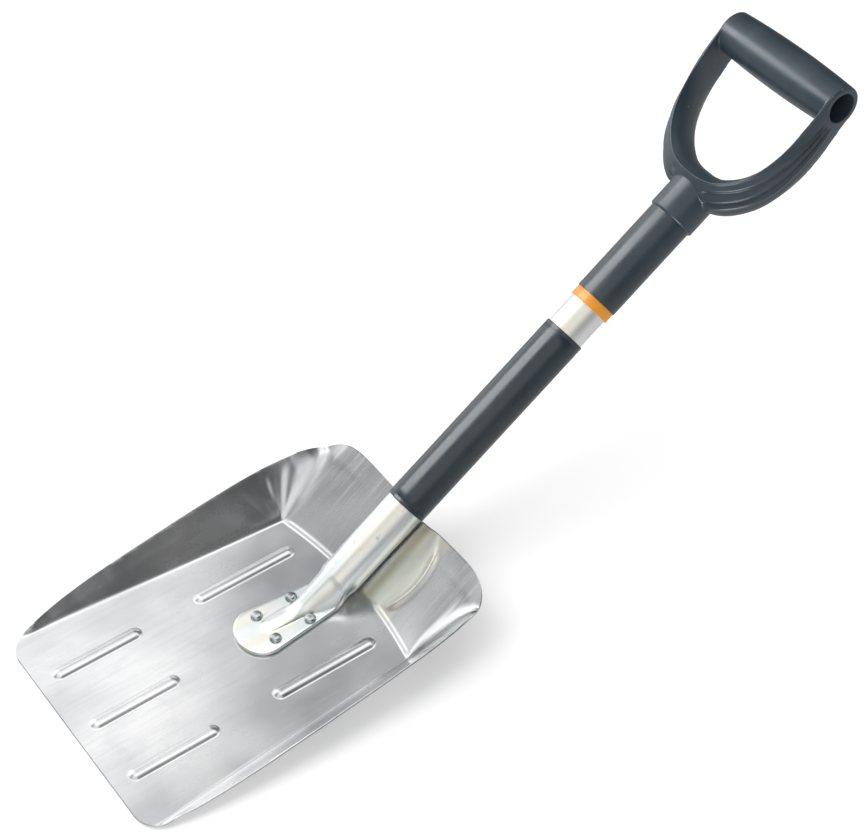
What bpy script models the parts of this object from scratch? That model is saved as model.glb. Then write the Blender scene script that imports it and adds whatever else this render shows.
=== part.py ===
"""Telescopic camp shovel: pressed scoop, riveted steel tube, twist-locked D handle.

World frame: +X is the width of the scoop, +Y runs from its front edge to the
handle, +Z is up. The origin is on the flat underside of the scoop's floor.
"""
import math

import bmesh
import bpy
from mathutils import Matrix, Vector

MM = 0.001
GAP = 0.3 * MM                      # clearance between touching pieces

# ---- scoop -------------------------------------------------------------
SHEET = 1.5 * MM                    # sheet thickness
FRONT_Y = -115.0 * MM               # front edge
REAR_Y = 192.0 * MM                 # rear top edge
CREASE_Y = 123.0 * MM               # floor meets the back wall, at the sides
CREASE_BOW = 10.0 * MM              # how far the crease bows back at the middle
BACK_SLOPE = math.tan(math.radians(36.0))
CORNER_DROP = 0.22                  # the back wall is shallower towards its corners
CORNER_X = 113.0 * MM
RECESS_DROP = 0.055                 # and behind the tube
RECESS_INNER = 34.0 * MM
RECESS_OUTER = 46.0 * MM
CRADLE_GAP = 1.2 * MM               # room between the back wall's groove and the sleeve
FOLD_X_FRONT = 107.5 * MM           # half width of the flat floor at the front
FOLD_X_REAR = 88.5 * MM             # and at the rear crease
CREASE_SPREAD = 0.12                # how the corner crease moves out as it rises
WALL_RISE = 37.0 * MM               # height of the side wall's top at the rear
FRONT_CORNER_R = 22.0 * MM
FOLD_BLEND = 5.0 * MM
BACK_BLEND = 2.4 * MM
RIB_HALF_W = 5.6 * MM
RIB_HEIGHT = 2.6 * MM
RIB_X = 57.7 * MM
FRONT_RIB_Y = (-101.0 * MM, -26.0 * MM)
REAR_RIB_Y = (23.0 * MM, 112.0 * MM)

# ---- shaft -------------------------------------------------------------
LIFT = math.radians(31.4)           # angle of the shaft above the floor
SOCKET = Vector((0.0, 184.1 * MM, 54.1 * MM))   # shaft axis at the sleeve's lower end
TUBE_R = 16.0 * MM
TUBE_BORE_R = 14.5 * MM
TUBE_END_U = 271.0 * MM             # upper end of the lower tube, along the shaft
SLEEVE_R = 17.3 * MM
SLEEVE_TOP_U = 180.2 * MM
BUSH_U = 206.6 * MM                 # lower face of the guide bush
BUSH_COLLAR_R = 17.45 * MM
BUSH_COLLAR_H = 8.1 * MM
BUSH_SPIGOT_H = 14.0 * MM
UPPER_R = 18.05 * MM
UPPER_BORE_R = 17.25 * MM
UPPER_U = (215.0 * MM, 324.0 * MM)

# ---- foot --------------------------------------------------------------
FOOT_TIP_Y = 27.0 * MM
FOOT_PLATE = 3.2 * MM
RIVET_X = 13.7 * MM
RIVET_Y = (51.8 * MM, 83.1 * MM)
RIVET_SHANK_R = 2.4 * MM
RIVET_HOLE_R = 2.7 * MM
RIVET_HEAD_R = 4.8 * MM
RIVET_HEAD_H = 2.9 * MM
RIVET_TAIL_R = 3.9 * MM
RIVET_TAIL_H = 1.5 * MM

# ---- D handle ----------------------------------------------------------
NECK_R = 19.8 * MM
NECK_U = (298.1 * MM, 331.0 * MM)
SCREW_U = 312.0 * MM                # the screw that fixes the neck to the upper tube
HANDLE_PIVOT_U = 320.0 * MM         # where the handle starts to lean up from the shaft
HANDLE_LEAN = math.radians(10.1)
GRIP_V = 120.0 * MM                 # grip axis, from that point
GRIP_HALF = 60.2 * MM
GRIP_R_END = 16.9 * MM
GRIP_R_MID = 18.9 * MM
GRIP_BORE_R = 12.0 * MM
ARM_RIDGE = 1.0 * MM

# ---- twist lock --------------------------------------------------------
SPINDLE_OFFSET = 0.8 * MM
SPINDLE_R = 6.0 * MM
RING_BORE_R = 6.7 * MM
RING_R = 16.9 * MM
RING_U = (275.0 * MM, 290.0 * MM)
WASHER_R = 10.0 * MM
SCREW_R = 2.0 * MM

AXIS = Vector((0.0, math.cos(LIFT), math.sin(LIFT)))
RISE = Vector((0.0, -math.sin(LIFT), math.cos(LIFT)))
LEAN_V = AXIS * math.cos(HANDLE_LEAN) + RISE * math.sin(HANDLE_LEAN)
LEAN_W = RISE * math.cos(HANDLE_LEAN) - AXIS * math.sin(HANDLE_LEAN)
PIVOT = SOCKET + AXIS * HANDLE_PIVOT_U


# ---- helpers -----------------------------------------------------------
def clear_scene():
    for obj in list(bpy.data.objects):
        bpy.data.objects.remove(obj, do_unlink=True)


def material(name, colour, roughness, metallic):
    mat = bpy.data.materials.new(name)
    mat.use_nodes = True
    shader = mat.node_tree.nodes["Principled BSDF"]
    shader.inputs["Base Color"].default_value = (*colour, 1.0)
    shader.inputs["Roughness"].default_value = roughness
    shader.inputs["Metallic"].default_value = metallic
    mat.diffuse_color = (*colour, 1.0)
    return mat


def add_object(name, bm, mat, smooth_angle=35.0, origin=None):
    """Turn a bmesh in world coordinates into a shaded object with the given origin."""
    bmesh.ops.recalc_face_normals(bm, faces=bm.faces)
    mesh = bpy.data.meshes.new(name)
    bm.to_mesh(mesh)
    bm.free()
    obj = bpy.data.objects.new(name, mesh)
    bpy.context.scene.collection.objects.link(obj)
    if origin is not None:
        mesh.transform(Matrix.Translation(-origin))
        obj.location = origin
    if mat is not None:
        mesh.materials.append(mat)
    mesh.shade_smooth()
    mesh.set_sharp_from_angle(angle=math.radians(smooth_angle))
    return obj


def shaft_point(x, e, u):
    """World position from shaft coordinates: across, above the axis, along it."""
    return SOCKET + Vector((x, 0.0, 0.0)) + RISE * e + AXIS * u


def handle_point(x, w, v):
    """World position in the leaning frame of the D handle."""
    return PIVOT + Vector((x, 0.0, 0.0)) + LEAN_W * w + LEAN_V * v


def vertical_point(x, y, z):
    return Vector((x, y, z))


def ring_of(bm, place, radius, station, count, centre=(0.0, 0.0), phase=0.0):
    ring = []
    for i in range(count):
        angle = 2.0 * math.pi * (i + phase) / count
        x = centre[0] + radius * math.cos(angle)
        y = centre[1] + radius * math.sin(angle)
        ring.append(bm.verts.new(place(x, y, station)))
    return ring


def bridge(bm, ring_a, ring_b):
    count = len(ring_a)
    for i in range(count):
        j = (i + 1) % count
        bm.faces.new((ring_a[i], ring_a[j], ring_b[j], ring_b[i]))


def revolve(place, profile, count=40, closed=False, centre=(0.0, 0.0), phase=0.0):
    """Rings at (radius, station); capped at both ends, or joined round when closed."""
    bm = bmesh.new()
    rings = [ring_of(bm, place, r, s, count, centre, phase) for r, s in profile]
    for ring_a, ring_b in zip(rings, rings[1:]):
        bridge(bm, ring_a, ring_b)
    if closed:
        bridge(bm, rings[-1], rings[0])
    else:
        bm.faces.new(rings[0])
        bm.faces.new(rings[-1])
    return bm


def loft(bm, loops):
    for loop_a, loop_b in zip(loops, loops[1:]):
        bridge(bm, loop_a, loop_b)


def apply_boolean(obj, cutter, operation):
    cutter.hide_render = True
    cutter.display_type = "WIRE"
    mod = obj.modifiers.new("cut", "BOOLEAN")
    mod.operation = operation
    mod.solver = "EXACT"
    mod.object = cutter
    bake_modifiers(obj)
    bpy.data.objects.remove(cutter, do_unlink=True)
    bm = bmesh.new()
    bm.from_mesh(obj.data)
    bmesh.ops.remove_doubles(bm, verts=bm.verts, dist=5e-6)
    bmesh.ops.dissolve_degenerate(bm, dist=5e-6, edges=bm.edges)
    bm.to_mesh(obj.data)
    bm.free()


def bake_modifiers(obj):
    depsgraph = bpy.context.evaluated_depsgraph_get()
    baked = bpy.data.meshes.new_from_object(obj.evaluated_get(depsgraph), depsgraph=depsgraph)
    old = obj.data
    obj.modifiers.clear()
    obj.data = baked
    bpy.data.meshes.remove(old)
    baked.name = obj.name


def finish_shading(obj, smooth_angle=35.0):
    obj.data.shade_smooth()
    obj.data.set_sharp_from_angle(angle=math.radians(smooth_angle))


def lerp_table(table, key):
    """Piecewise-linear lookup in a short list of (key, value) stations."""
    if key <= table[0][0]:
        return table[0][1]
    for (k0, v0), (k1, v1) in zip(table, table[1:]):
        if key <= k1:
            return v0 + (v1 - v0) * (key - k0) / (k1 - k0)
    return table[-1][1]


def smoothstep(low, high, value):
    t = min(max((value - low) / (high - low), 0.0), 1.0)
    return t * t * (3.0 - 2.0 * t)


def smooth_max(a, b, blend):
    h = max(blend - abs(a - b), 0.0) / blend
    return max(a, b) + h * h * blend * 0.25


# ---- scoop -------------------------------------------------------------
SIDE_EDGE = [(FRONT_Y + FRONT_CORNER_R, 110.0 * MM), (-77.0 * MM, 113.6 * MM),
             (-52.0 * MM, 116.2 * MM), (-24.0 * MM, 117.7 * MM), (28.0 * MM, 118.2 * MM),
             (78.0 * MM, 117.8 * MM), (118.0 * MM, 116.6 * MM), (148.0 * MM, 113.6 * MM),
             (166.0 * MM, 109.8 * MM), (177.0 * MM, 106.0 * MM), (185.0 * MM, 99.0 * MM),
             (189.6 * MM, 89.0 * MM), (191.5 * MM, 78.0 * MM), (REAR_Y, 66.0 * MM)]


def edge_x(y):
    return lerp_table(SIDE_EDGE, y)


def fold_x(y):
    if y > CREASE_Y:
        return FOLD_X_REAR + (y - CREASE_Y) * CREASE_SPREAD
    t = (y - FRONT_Y) / (CREASE_Y - FRONT_Y)
    return FOLD_X_FRONT + (FOLD_X_REAR - FOLD_X_FRONT) * t


def crease_y(x):
    return CREASE_Y + CREASE_BOW * (1.0 - min(abs(x) / FOLD_X_REAR, 1.0) ** 2)


def back_height(x, y):
    drop = RECESS_DROP * (1.0 - smoothstep(RECESS_INNER, RECESS_OUTER, abs(x)))
    drop += CORNER_DROP * (abs(x) / CORNER_X) ** 4
    return (y - crease_y(x)) * (BACK_SLOPE - drop)


def cradle_height(x, y):
    """Underside of the shaft, less a clearance: the groove pressed in the back wall."""
    radius = SLEEVE_R + CRADLE_GAP
    if abs(x) >= radius:
        return 1.0
    axis_z = SOCKET.z + (y - SOCKET.y) * math.tan(LIFT)
    return axis_z - math.sqrt(radius * radius - x * x) / math.cos(LIFT) - SHEET


def wall_top(y):
    along = (y - FRONT_Y) / (CREASE_Y - FRONT_Y)
    if along < 1.0:
        return WALL_RISE * (1.22 * along - 0.255 * along * along)
    swell = 0.06 * smoothstep(CREASE_Y, 155.0 * MM, y)
    fall = 0.13 * smoothstep(162.0 * MM, REAR_Y, y)
    return WALL_RISE * (0.965 + swell - fall)


def wall_height(x, y):
    inner_x = fold_x(y)
    inner_z = max(back_height(inner_x, y), 0.0)
    outer_x = max(edge_x(y), inner_x + 8.0 * MM)
    slope = max((wall_top(y) - inner_z) / (outer_x - inner_x), 0.25)
    return inner_z + (abs(x) - inner_x) * slope


def rib_height(x, y):
    total = 0.0
    ribs = [(sx * RIB_X, REAR_RIB_Y) for sx in (-1, 1)]
    ribs += [(sx * RIB_X, FRONT_RIB_Y) for sx in (-1, 0, 1)]
    for rib_x, (y0, y1) in ribs:
        nearest = min(max(y, y0 + RIB_HALF_W), y1 - RIB_HALF_W)
        r = math.hypot(x - rib_x, y - nearest) / RIB_HALF_W
        if r < 1.0:
            total += RIB_HEIGHT * (1.0 - r ** 2.6)
    return total


def scoop_height(x, y):
    back = -smooth_max(-back_height(x, y), -cradle_height(x, y), 2.0 * MM)
    z = smooth_max(0.0, back, BACK_BLEND)
    return smooth_max(z, wall_height(x, y), FOLD_BLEND) + rib_height(x, y)


def rib_lines(low, high):
    """Grid lines that resolve the rounded end of a rib at both ends."""
    offsets = (-1.4 * MM, 0.0, 1.1 * MM, 2.8 * MM, 5.6 * MM)
    return [low + o for o in offsets] + [high - o for o in offsets]


def scoop_columns():
    """Column positions as (share of the fold line, offset) pairs, for x >= 0."""
    across = (1.25, 1.0, 0.82, 0.45)
    columns = [(0.0, 0.0)]
    columns += [(0.0, RIB_HALF_W * a) for a in reversed(across)]
    columns += [(0.0, 10.5 * MM), (0.0, 14.0 * MM), (0.0, 22.0 * MM), (0.0, RECESS_INNER),
                (0.0, 38.0 * MM), (0.0, 42.0 * MM), (0.0, RECESS_OUTER)]
    columns += [(0.0, RIB_X - RIB_HALF_W * a) for a in across]
    columns += [(0.0, RIB_X)]
    columns += [(0.0, RIB_X + RIB_HALF_W * a) for a in reversed(across)]
    columns += [(1.0, o * MM) for o in (-14.0, -6.0, -3.0, 0.0, 3.0, 6.0, 12.0, 20.0, 34.0)]
    return columns


def scoop_rows():
    rows = [FRONT_Y - 4.0 * MM, FRONT_Y + 7.0 * MM]
    rows += rib_lines(*FRONT_RIB_Y)
    rows += [-76.0 * MM, -51.0 * MM, -12.0 * MM, 6.0 * MM]
    rows += rib_lines(*REAR_RIB_Y)
    rows += [50.0 * MM, 80.0 * MM]
    rows += [118.0 * MM, 122.0 * MM, 126.0 * MM, 130.0 * MM, 134.0 * MM, 138.0 * MM]
    rows += [146.0 * MM, 157.0 * MM, 169.0 * MM, 181.0 * MM, 196.0 * MM]
    return sorted(rows)


def scoop_outline():
    """Corners of the outline on the +X side, from the front edge to the rear edge."""
    points = []
    centre_x = edge_x(FRONT_Y + FRONT_CORNER_R) - FRONT_CORNER_R
    for i in range(6):
        angle = math.radians(-90.0 + 90.0 * i / 6)
        points.append((centre_x + FRONT_CORNER_R * math.cos(angle),
                       FRONT_Y + FRONT_CORNER_R * (1.0 + math.sin(angle))))
    points += [(x, y) for y, x in SIDE_EDGE]
    return points


def trim_to_outline(bm):
    """Cut the grid to the convex outline, one straight edge at a time."""
    points = scoop_outline()
    loop = points + [(-x, y) for x, y in reversed(points)]
    for (x0, y0), (x1, y1) in zip(loop, loop[1:] + loop[:1]):
        along = Vector((x1 - x0, y1 - y0, 0.0)).normalized()
        outward = Vector((along.y, -along.x, 0.0))
        geom = bm.verts[:] + bm.edges[:] + bm.faces[:]
        bmesh.ops.bisect_plane(bm, geom=geom, dist=1e-6, plane_co=Vector((x0, y0, 0.0)),
                               plane_no=outward, clear_outer=True)
    bmesh.ops.dissolve_degenerate(bm, dist=2e-5, edges=bm.edges)


def build_scoop(mat):
    bm = bmesh.new()
    columns = scoop_columns()
    signed = [(-s, -o) for s, o in reversed(columns[1:])] + columns
    grid = []
    for y in scoop_rows():
        row = []
        for share, offset in signed:
            x = share * fold_x(y) + offset
            row.append(bm.verts.new((x, y, SHEET + scoop_height(x, y))))
        grid.append(row)
    for row_a, row_b in zip(grid, grid[1:]):
        for i in range(len(row_a) - 1):
            bm.faces.new((row_a[i], row_a[i + 1], row_b[i + 1], row_b[i]))
    trim_to_outline(bm)
    mesh = bpy.data.meshes.new("blade_pan")
    bm.to_mesh(mesh)
    bm.free()
    obj = bpy.data.objects.new("blade_pan", mesh)
    bpy.context.scene.collection.objects.link(obj)
    mesh.materials.append(mat)
    solid = obj.modifiers.new("thickness", "SOLIDIFY")
    solid.thickness = SHEET
    solid.offset = -1.0
    solid.use_even_offset = True
    bake_modifiers(obj)
    for sx in (-1, 1):
        for y in RIVET_Y:
            hole = revolve(vertical_point, [(RIVET_HOLE_R, -4.0 * MM), (RIVET_HOLE_R, 6.0 * MM)],
                           count=20, centre=(sx * RIVET_X, y))
            apply_boolean(obj, add_object("hole", hole, None), "DIFFERENCE")
    finish_shading(obj, 32.0)
    return obj


# ---- tube and foot -----------------------------------------------------
FOOT_LOOP = 36

# (run from the tip, lean share, half width, ridge half width, roundness), lengths in mm
FOOT_STATIONS = [
    (0.6, 0.0, 8.0, 1.0, 0.0), (3.0, 0.0, 14.4, 1.4, 0.0), (7.0, 0.0, 19.2, 1.6, 0.0),
    (12.5, 0.0, 22.4, 1.8, 0.0), (19.0, 0.0, 23.6, 2.0, 0.0), (27.0, 0.0, 23.6, 2.2, 0.0),
    (33.0, 0.0, 23.6, 3.4, 0.0), (40.0, 0.0, 23.6, 4.9, 0.0), (47.0, 0.0, 23.4, 6.3, 0.0),
    (54.0, 0.0, 23.0, 7.6, 0.0), (60.5, 0.0, 22.4, 8.7, 0.0), (66.5, 0.1, 21.6, 11.2, 0.04),
    (73.0, 0.24, 20.5, 13.8, 0.12), (80.0, 0.4, 19.2, 15.4, 0.3), (87.0, 0.58, 17.8, 16.0, 0.55),
    (94.5, 0.79, 16.7, 16.0, 0.8), (102.1, 1.0, 16.0, 16.0, 1.0)]
FOOT_TONGUE_RUN = 26.0 * MM         # where the ridge starts, from the tip
FOOT_TONGUE_H = 3.4 * MM            # height of its faired end
FOOT_TONGUE_RISE = 0.085


def ridge_height(base_y, tilt):
    """Height of the tube's top line over the floor, along a loop that leans by tilt."""
    if base_y < FOOT_TIP_Y + FOOT_TONGUE_RUN:
        return FOOT_PLATE
    line_y = SOCKET.y - SOCKET.z / math.tan(LIFT)
    top = (base_y - line_y) * math.tan(LIFT) + TUBE_R / math.cos(LIFT) - SHEET - GAP
    straight = top / (math.cos(tilt) + math.tan(LIFT) * math.sin(tilt))
    tongue = FOOT_TONGUE_H + FOOT_TONGUE_RISE * (base_y - FOOT_TIP_Y - FOOT_TONGUE_RUN)
    return smooth_max(straight, tongue, 4.0 * MM)


def foot_section(index, half_w, ridge_w, height, roundness):
    """Point of a cross section: a plate with a half-round ridge that turns into a circle."""
    quarter = FOOT_LOOP // 4
    angle = 2.0 * math.pi * index / FOOT_LOOP
    side = 1.0 if math.cos(angle) >= 0.0 else -1.0
    step = min(index, FOOT_LOOP - index, abs(2 * quarter - index))
    if math.sin(angle) < -1e-9:
        x = (1.0, 0.97, 0.9)[step] * half_w if step < 3 else half_w * abs(math.cos(angle))
        w = (0.5, 0.12, 0.0)[min(step, 2)] * FOOT_PLATE
    elif step < 4:
        outer = (1.0, 0.97, 0.9)[min(step, 2)] * half_w
        x = outer if step < 3 else 0.5 * (outer + ridge_w)
        w = (0.5, 0.88, 1.0)[min(step, 2)] * FOOT_PLATE
    else:
        turn = 0.5 * math.pi * (step - 4) / (quarter - 4)
        x = ridge_w * math.cos(turn)
        w = FOOT_PLATE + (height - FOOT_PLATE) * math.sin(turn)
    x *= side
    round_x = TUBE_R * math.cos(angle)
    round_w = 0.5 * height * (1.0 + math.sin(angle))
    return x + (round_x - x) * roundness, w + (round_w - w) * roundness


def foot_loop(bm, base_y, tilt, half_w, ridge_w, roundness):
    """One loop of the foot, in a plane that leans towards the front by tilt."""
    up = Vector((0.0, -math.sin(tilt), math.cos(tilt)))
    base = Vector((0.0, base_y, SHEET + GAP))
    height = ridge_height(base_y, tilt)
    loop = []
    for i in range(FOOT_LOOP):
        x, w = foot_section(i, half_w, ridge_w, height, roundness)
        loop.append(bm.verts.new(base + Vector((x, 0.0, 0.0)) + up * w))
    return loop


def build_lower_tube(mat):
    bm = bmesh.new()
    floor_z = SHEET + GAP
    loops = []
    for run, share, half_w, ridge_w, roundness in FOOT_STATIONS:
        loops.append(foot_loop(bm, FOOT_TIP_Y + run * MM, share * LIFT, half_w * MM,
                               ridge_w * MM, roundness))
    tube_start = (floor_z - SOCKET.z + TUBE_R * math.cos(LIFT)) / math.sin(LIFT)
    for u in (tube_start + 6.0 * MM, TUBE_END_U - 0.6 * MM, TUBE_END_U):
        radius = TUBE_R if u < TUBE_END_U else TUBE_R - 0.5 * MM
        loops.append(tube_loop(bm, radius, u))
    loops.append(tube_loop(bm, TUBE_BORE_R, TUBE_END_U))
    loops.append(tube_loop(bm, TUBE_BORE_R, tube_start + 12.0 * MM))
    loops.append(tube_loop(bm, 9.0 * MM, tube_start + 4.0 * MM))
    loft(bm, loops)
    bm.faces.new(loops[0])
    bm.faces.new(loops[-1])
    obj = add_object("lower_tube", bm, mat, 40.0)
    for sx in (-1, 1):
        for y in RIVET_Y:
            hole = revolve(vertical_point, [(RIVET_HOLE_R, -4.0 * MM), (RIVET_HOLE_R, 9.0 * MM)],
                           count=20, centre=(sx * RIVET_X, y))
            apply_boolean(obj, add_object("hole", hole, None), "DIFFERENCE")
    finish_shading(obj, 40.0)
    return obj


def tube_loop(bm, radius, u):
    """Circle round the shaft axis, numbered like a foot section."""
    loop = []
    for i in range(FOOT_LOOP):
        angle = 2.0 * math.pi * i / FOOT_LOOP
        loop.append(bm.verts.new(shaft_point(radius * math.cos(angle), radius * math.sin(angle), u)))
    return loop


def build_rivets(mat):
    under = -GAP
    top = SHEET + GAP + FOOT_PLATE + GAP
    number = 0
    for y in RIVET_Y:
        for sx in (-1, 1):
            number += 1
            profile = [(0.35 * RIVET_TAIL_R, under - RIVET_TAIL_H),
                       (0.8 * RIVET_TAIL_R, under - 0.8 * RIVET_TAIL_H),
                       (RIVET_TAIL_R, under - 0.35 * RIVET_TAIL_H), (RIVET_TAIL_R, under),
                       (RIVET_SHANK_R, under), (RIVET_SHANK_R, top), (RIVET_HEAD_R, top)]
            for t in (25.0, 50.0, 72.0):
                angle = math.radians(t)
                profile.append((RIVET_HEAD_R * math.cos(angle), top + RIVET_HEAD_H * math.sin(angle)))
            bm = revolve(vertical_point, profile, count=20, centre=(sx * RIVET_X, y))
            add_object("blade_rivet_%d" % number, bm, mat)


def build_sleeve(mat):
    inner = TUBE_R + GAP
    profile = [(inner, 0.0), (SLEEVE_R - 0.4 * MM, 0.0), (SLEEVE_R, 0.5 * MM),
               (SLEEVE_R, SLEEVE_TOP_U - 0.5 * MM), (SLEEVE_R - 0.4 * MM, SLEEVE_TOP_U),
               (inner, SLEEVE_TOP_U)]
    add_object("lower_sleeve", revolve(shaft_point, profile, closed=True), mat)


# ---- telescoping parts -------------------------------------------------
def build_bush(mat):
    inner = TUBE_R + 0.25 * MM
    spigot = UPPER_BORE_R - 0.25 * MM
    low, high = BUSH_U, BUSH_U + BUSH_COLLAR_H
    profile = [(inner, low), (BUSH_COLLAR_R - 0.9 * MM, low), (BUSH_COLLAR_R - 0.2 * MM, low + 0.6 * MM),
               (BUSH_COLLAR_R, low + 1.4 * MM), (BUSH_COLLAR_R, high), (spigot, high),
               (spigot, high + BUSH_SPIGOT_H), (inner, high + BUSH_SPIGOT_H)]
    bm = revolve(shaft_point, profile, closed=True)
    add_object("guide_bush", bm, mat, origin=shaft_point(0.0, 0.0, BUSH_U))


def build_upper_tube(mat):
    low, high = UPPER_U
    profile = [(UPPER_BORE_R, low), (UPPER_R - 0.3 * MM, low), (UPPER_R, low + 0.4 * MM),
               (UPPER_R, high), (UPPER_BORE_R, high)]
    obj = add_object("upper_tube", revolve(shaft_point, profile, closed=True), mat,
                     origin=shaft_point(0.0, 0.0, low))
    cut_screw_hole(obj)
    finish_shading(obj)


def cut_screw_hole(obj):
    """Clearance for the fixing screw, in from the underside."""
    hole = revolve(screw_place, [(SCREW_R + GAP, -24.0 * MM), (SCREW_R + GAP, -10.7 * MM)], count=16)
    apply_boolean(obj, add_object("hole", hole, None), "DIFFERENCE")


def screw_place(x, y, station):
    """Across the shaft at the fixing screw; the station runs up from the shaft axis."""
    return shaft_point(x, station, SCREW_U + y)


# ---- D handle ----------------------------------------------------------
# inner line of the arms, from the middle of the throat to the grip: (x, v)
ARM_INNER = [(0.0, 24.2), (11.0, 24.8), (21.5, 28.0), (34.0, 37.2), (43.6, 49.5), (50.8, 65.0),
             (55.2, 81.0), (56.8, 95.0), (57.3, 107.0), (57.3, 120.0)]
# at each station: thickness at the rims, how far the outer face crowns beyond it,
# how much thicker the lower rim is, half depth
ARM_SIZES = [(12.0, 12.0, 6.0, 15.0), (10.6, 12.0, 7.0, 15.2), (9.4, 11.0, 8.0, 15.6),
             (8.0, 9.0, 8.0, 16.0), (6.6, 6.4, 7.0, 16.2), (5.4, 3.8, 5.0, 16.4),
             (4.6, 2.0, 2.4, 16.4), (4.2, 1.3, 0.8, 16.5), (3.9, 1.0, 0.0, 16.6),
             (3.8, 0.8, 0.0, 16.7)]


def refine(stations, mirrored):
    """Put a point on a smooth curve between each pair; x mirrors across the first one."""
    before = list(stations[1])
    if mirrored:
        before[0] = -before[0]
    padded = [before] + [list(s) for s in stations] + [list(stations[-1])]
    finer = []
    for a, b, c, d in zip(padded, padded[1:], padded[2:], padded[3:]):
        finer.append(tuple(b))
        finer.append(tuple((9.0 * (q + r) - p - s) / 16.0 for p, q, r, s in zip(a, b, c, d)))
    finer.append(tuple(stations[-1]))
    return finer


def arm_path():
    """Stations from the left end to the right end: point, outward normal, sizes."""
    inner = refine(ARM_INNER, True)
    sizes = refine(ARM_SIZES, False)
    half = []
    for i, (x, v) in enumerate(inner):
        x0, v0 = inner[max(i - 1, 0)]
        x1, v1 = inner[min(i + 1, len(inner) - 1)]
        if i == 0:
            x0, v0 = -x1, v1
        tangent = Vector((x1 - x0, v1 - v0)).normalized()
        normal = Vector((tangent.y, -tangent.x))
        half.append((Vector((x, v)), normal, sizes[i]))
    left = [(Vector((-p.x, p.y)), Vector((-n.x, n.y)), sizes) for p, n, sizes in half[:0:-1]]
    return left + half


def arm_section(thick, crown, skew, depth):
    """Closed section as (outward, w) pairs, with three ridges on the outer face."""
    points = [(0.9, -depth), (0.0, -depth + 1.2), (-0.4, -depth * 0.5), (-0.6, 0.0),
              (-0.4, depth * 0.5), (0.0, depth - 1.2), (0.9, depth)]
    steps = (0.985, 0.86, 0.7, 0.55, 0.4, 0.25, 0.12, 0.0)
    for share in steps + tuple(-s for s in reversed(steps[:-1])):
        ridge = ARM_RIDGE / MM * math.cos(3.0 * math.pi * share) * (1.0 - share ** 6)
        out = thick + crown * (1.0 - share ** 2) + 0.5 * skew * (1.0 - share) + ridge
        points.append((out, share * depth))
    return points


def build_arms():
    bm = bmesh.new()
    loops = []
    for point, normal, sizes in arm_path():
        loop = []
        for out, w in arm_section(*sizes):
            q = point + normal * out
            loop.append(bm.verts.new(handle_point(q.x * MM, w * MM, q.y * MM)))
        loops.append(loop)
    loft(bm, loops)
    bm.faces.new(loops[0])
    bm.faces.new(loops[-1])
    return add_object("handle_frame", bm, None)


def grip_place(x, y, station):
    return handle_point(station, x, GRIP_V + y)


def build_handle(mat):
    obj = build_arms()
    neck = [(NECK_R - 0.8 * MM, NECK_U[0]), (NECK_R, NECK_U[0] + 0.8 * MM),
            (NECK_R, NECK_U[1] - 8.5 * MM), (NECK_R - 0.7 * MM, NECK_U[1] - 5.0 * MM),
            (NECK_R - 3.5 * MM, NECK_U[1])]
    apply_boolean(obj, add_object("neck", revolve(shaft_point, neck, phase=0.5), None), "UNION")
    grip = []
    for i in range(9):
        share = -1.0 + 2.0 * i / 8
        radius = GRIP_R_MID - (GRIP_R_MID - GRIP_R_END) * share * share
        grip.append((radius, GRIP_HALF * share))
    grip = [(GRIP_R_END - 1.4 * MM, -GRIP_HALF - 1.2 * MM)] + grip
    grip += [(GRIP_R_END - 1.4 * MM, GRIP_HALF + 1.2 * MM)]
    apply_boolean(obj, add_object("grip", revolve(grip_place, grip, phase=0.37), None), "UNION")
    bore = [(GRIP_BORE_R, -GRIP_HALF - 8.0 * MM), (GRIP_BORE_R, GRIP_HALF + 8.0 * MM)]
    bore_cutter = add_object("bore", revolve(grip_place, bore, count=32, phase=0.37), None)
    apply_boolean(obj, bore_cutter, "DIFFERENCE")
    socket = [(UPPER_R + GAP, NECK_U[0] - 5.0 * MM), (UPPER_R + GAP, UPPER_U[1] + GAP)]
    apply_boolean(obj, add_object("socket", revolve(shaft_point, socket, phase=0.3), None), "DIFFERENCE")
    plug_gap = UPPER_BORE_R - GAP
    plug = [(plug_gap, UPPER_U[1] - 2.0 * MM), (plug_gap, UPPER_U[1] + 3.0 * MM)]
    apply_boolean(obj, add_object("plug", revolve(shaft_point, plug, phase=0.8), None), "UNION")
    hole = revolve(screw_place, [(SCREW_R + GAP, -24.0 * MM), (SCREW_R + GAP, -17.0 * MM)], count=16)
    apply_boolean(obj, add_object("hole", hole, None), "DIFFERENCE")
    origin = shaft_point(0.0, 0.0, NECK_U[0])
    obj.data.transform(Matrix.Translation(-origin))
    obj.location = origin
    obj.data.materials.clear()
    obj.data.materials.append(mat)
    finish_shading(obj, 38.0)


def build_handle_screw(mat):
    seat = -(NECK_R + GAP)
    profile = [(SCREW_R, -UPPER_BORE_R - 0.1 * MM), (SCREW_R, seat), (3.6 * MM, seat),
               (3.6 * MM, seat - 0.8 * MM), (2.4 * MM, seat - 1.9 * MM)]
    bm = revolve(screw_place, profile, count=20)
    add_object("handle_screw", bm, mat, origin=shaft_point(0.0, 0.0, SCREW_U))


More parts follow.
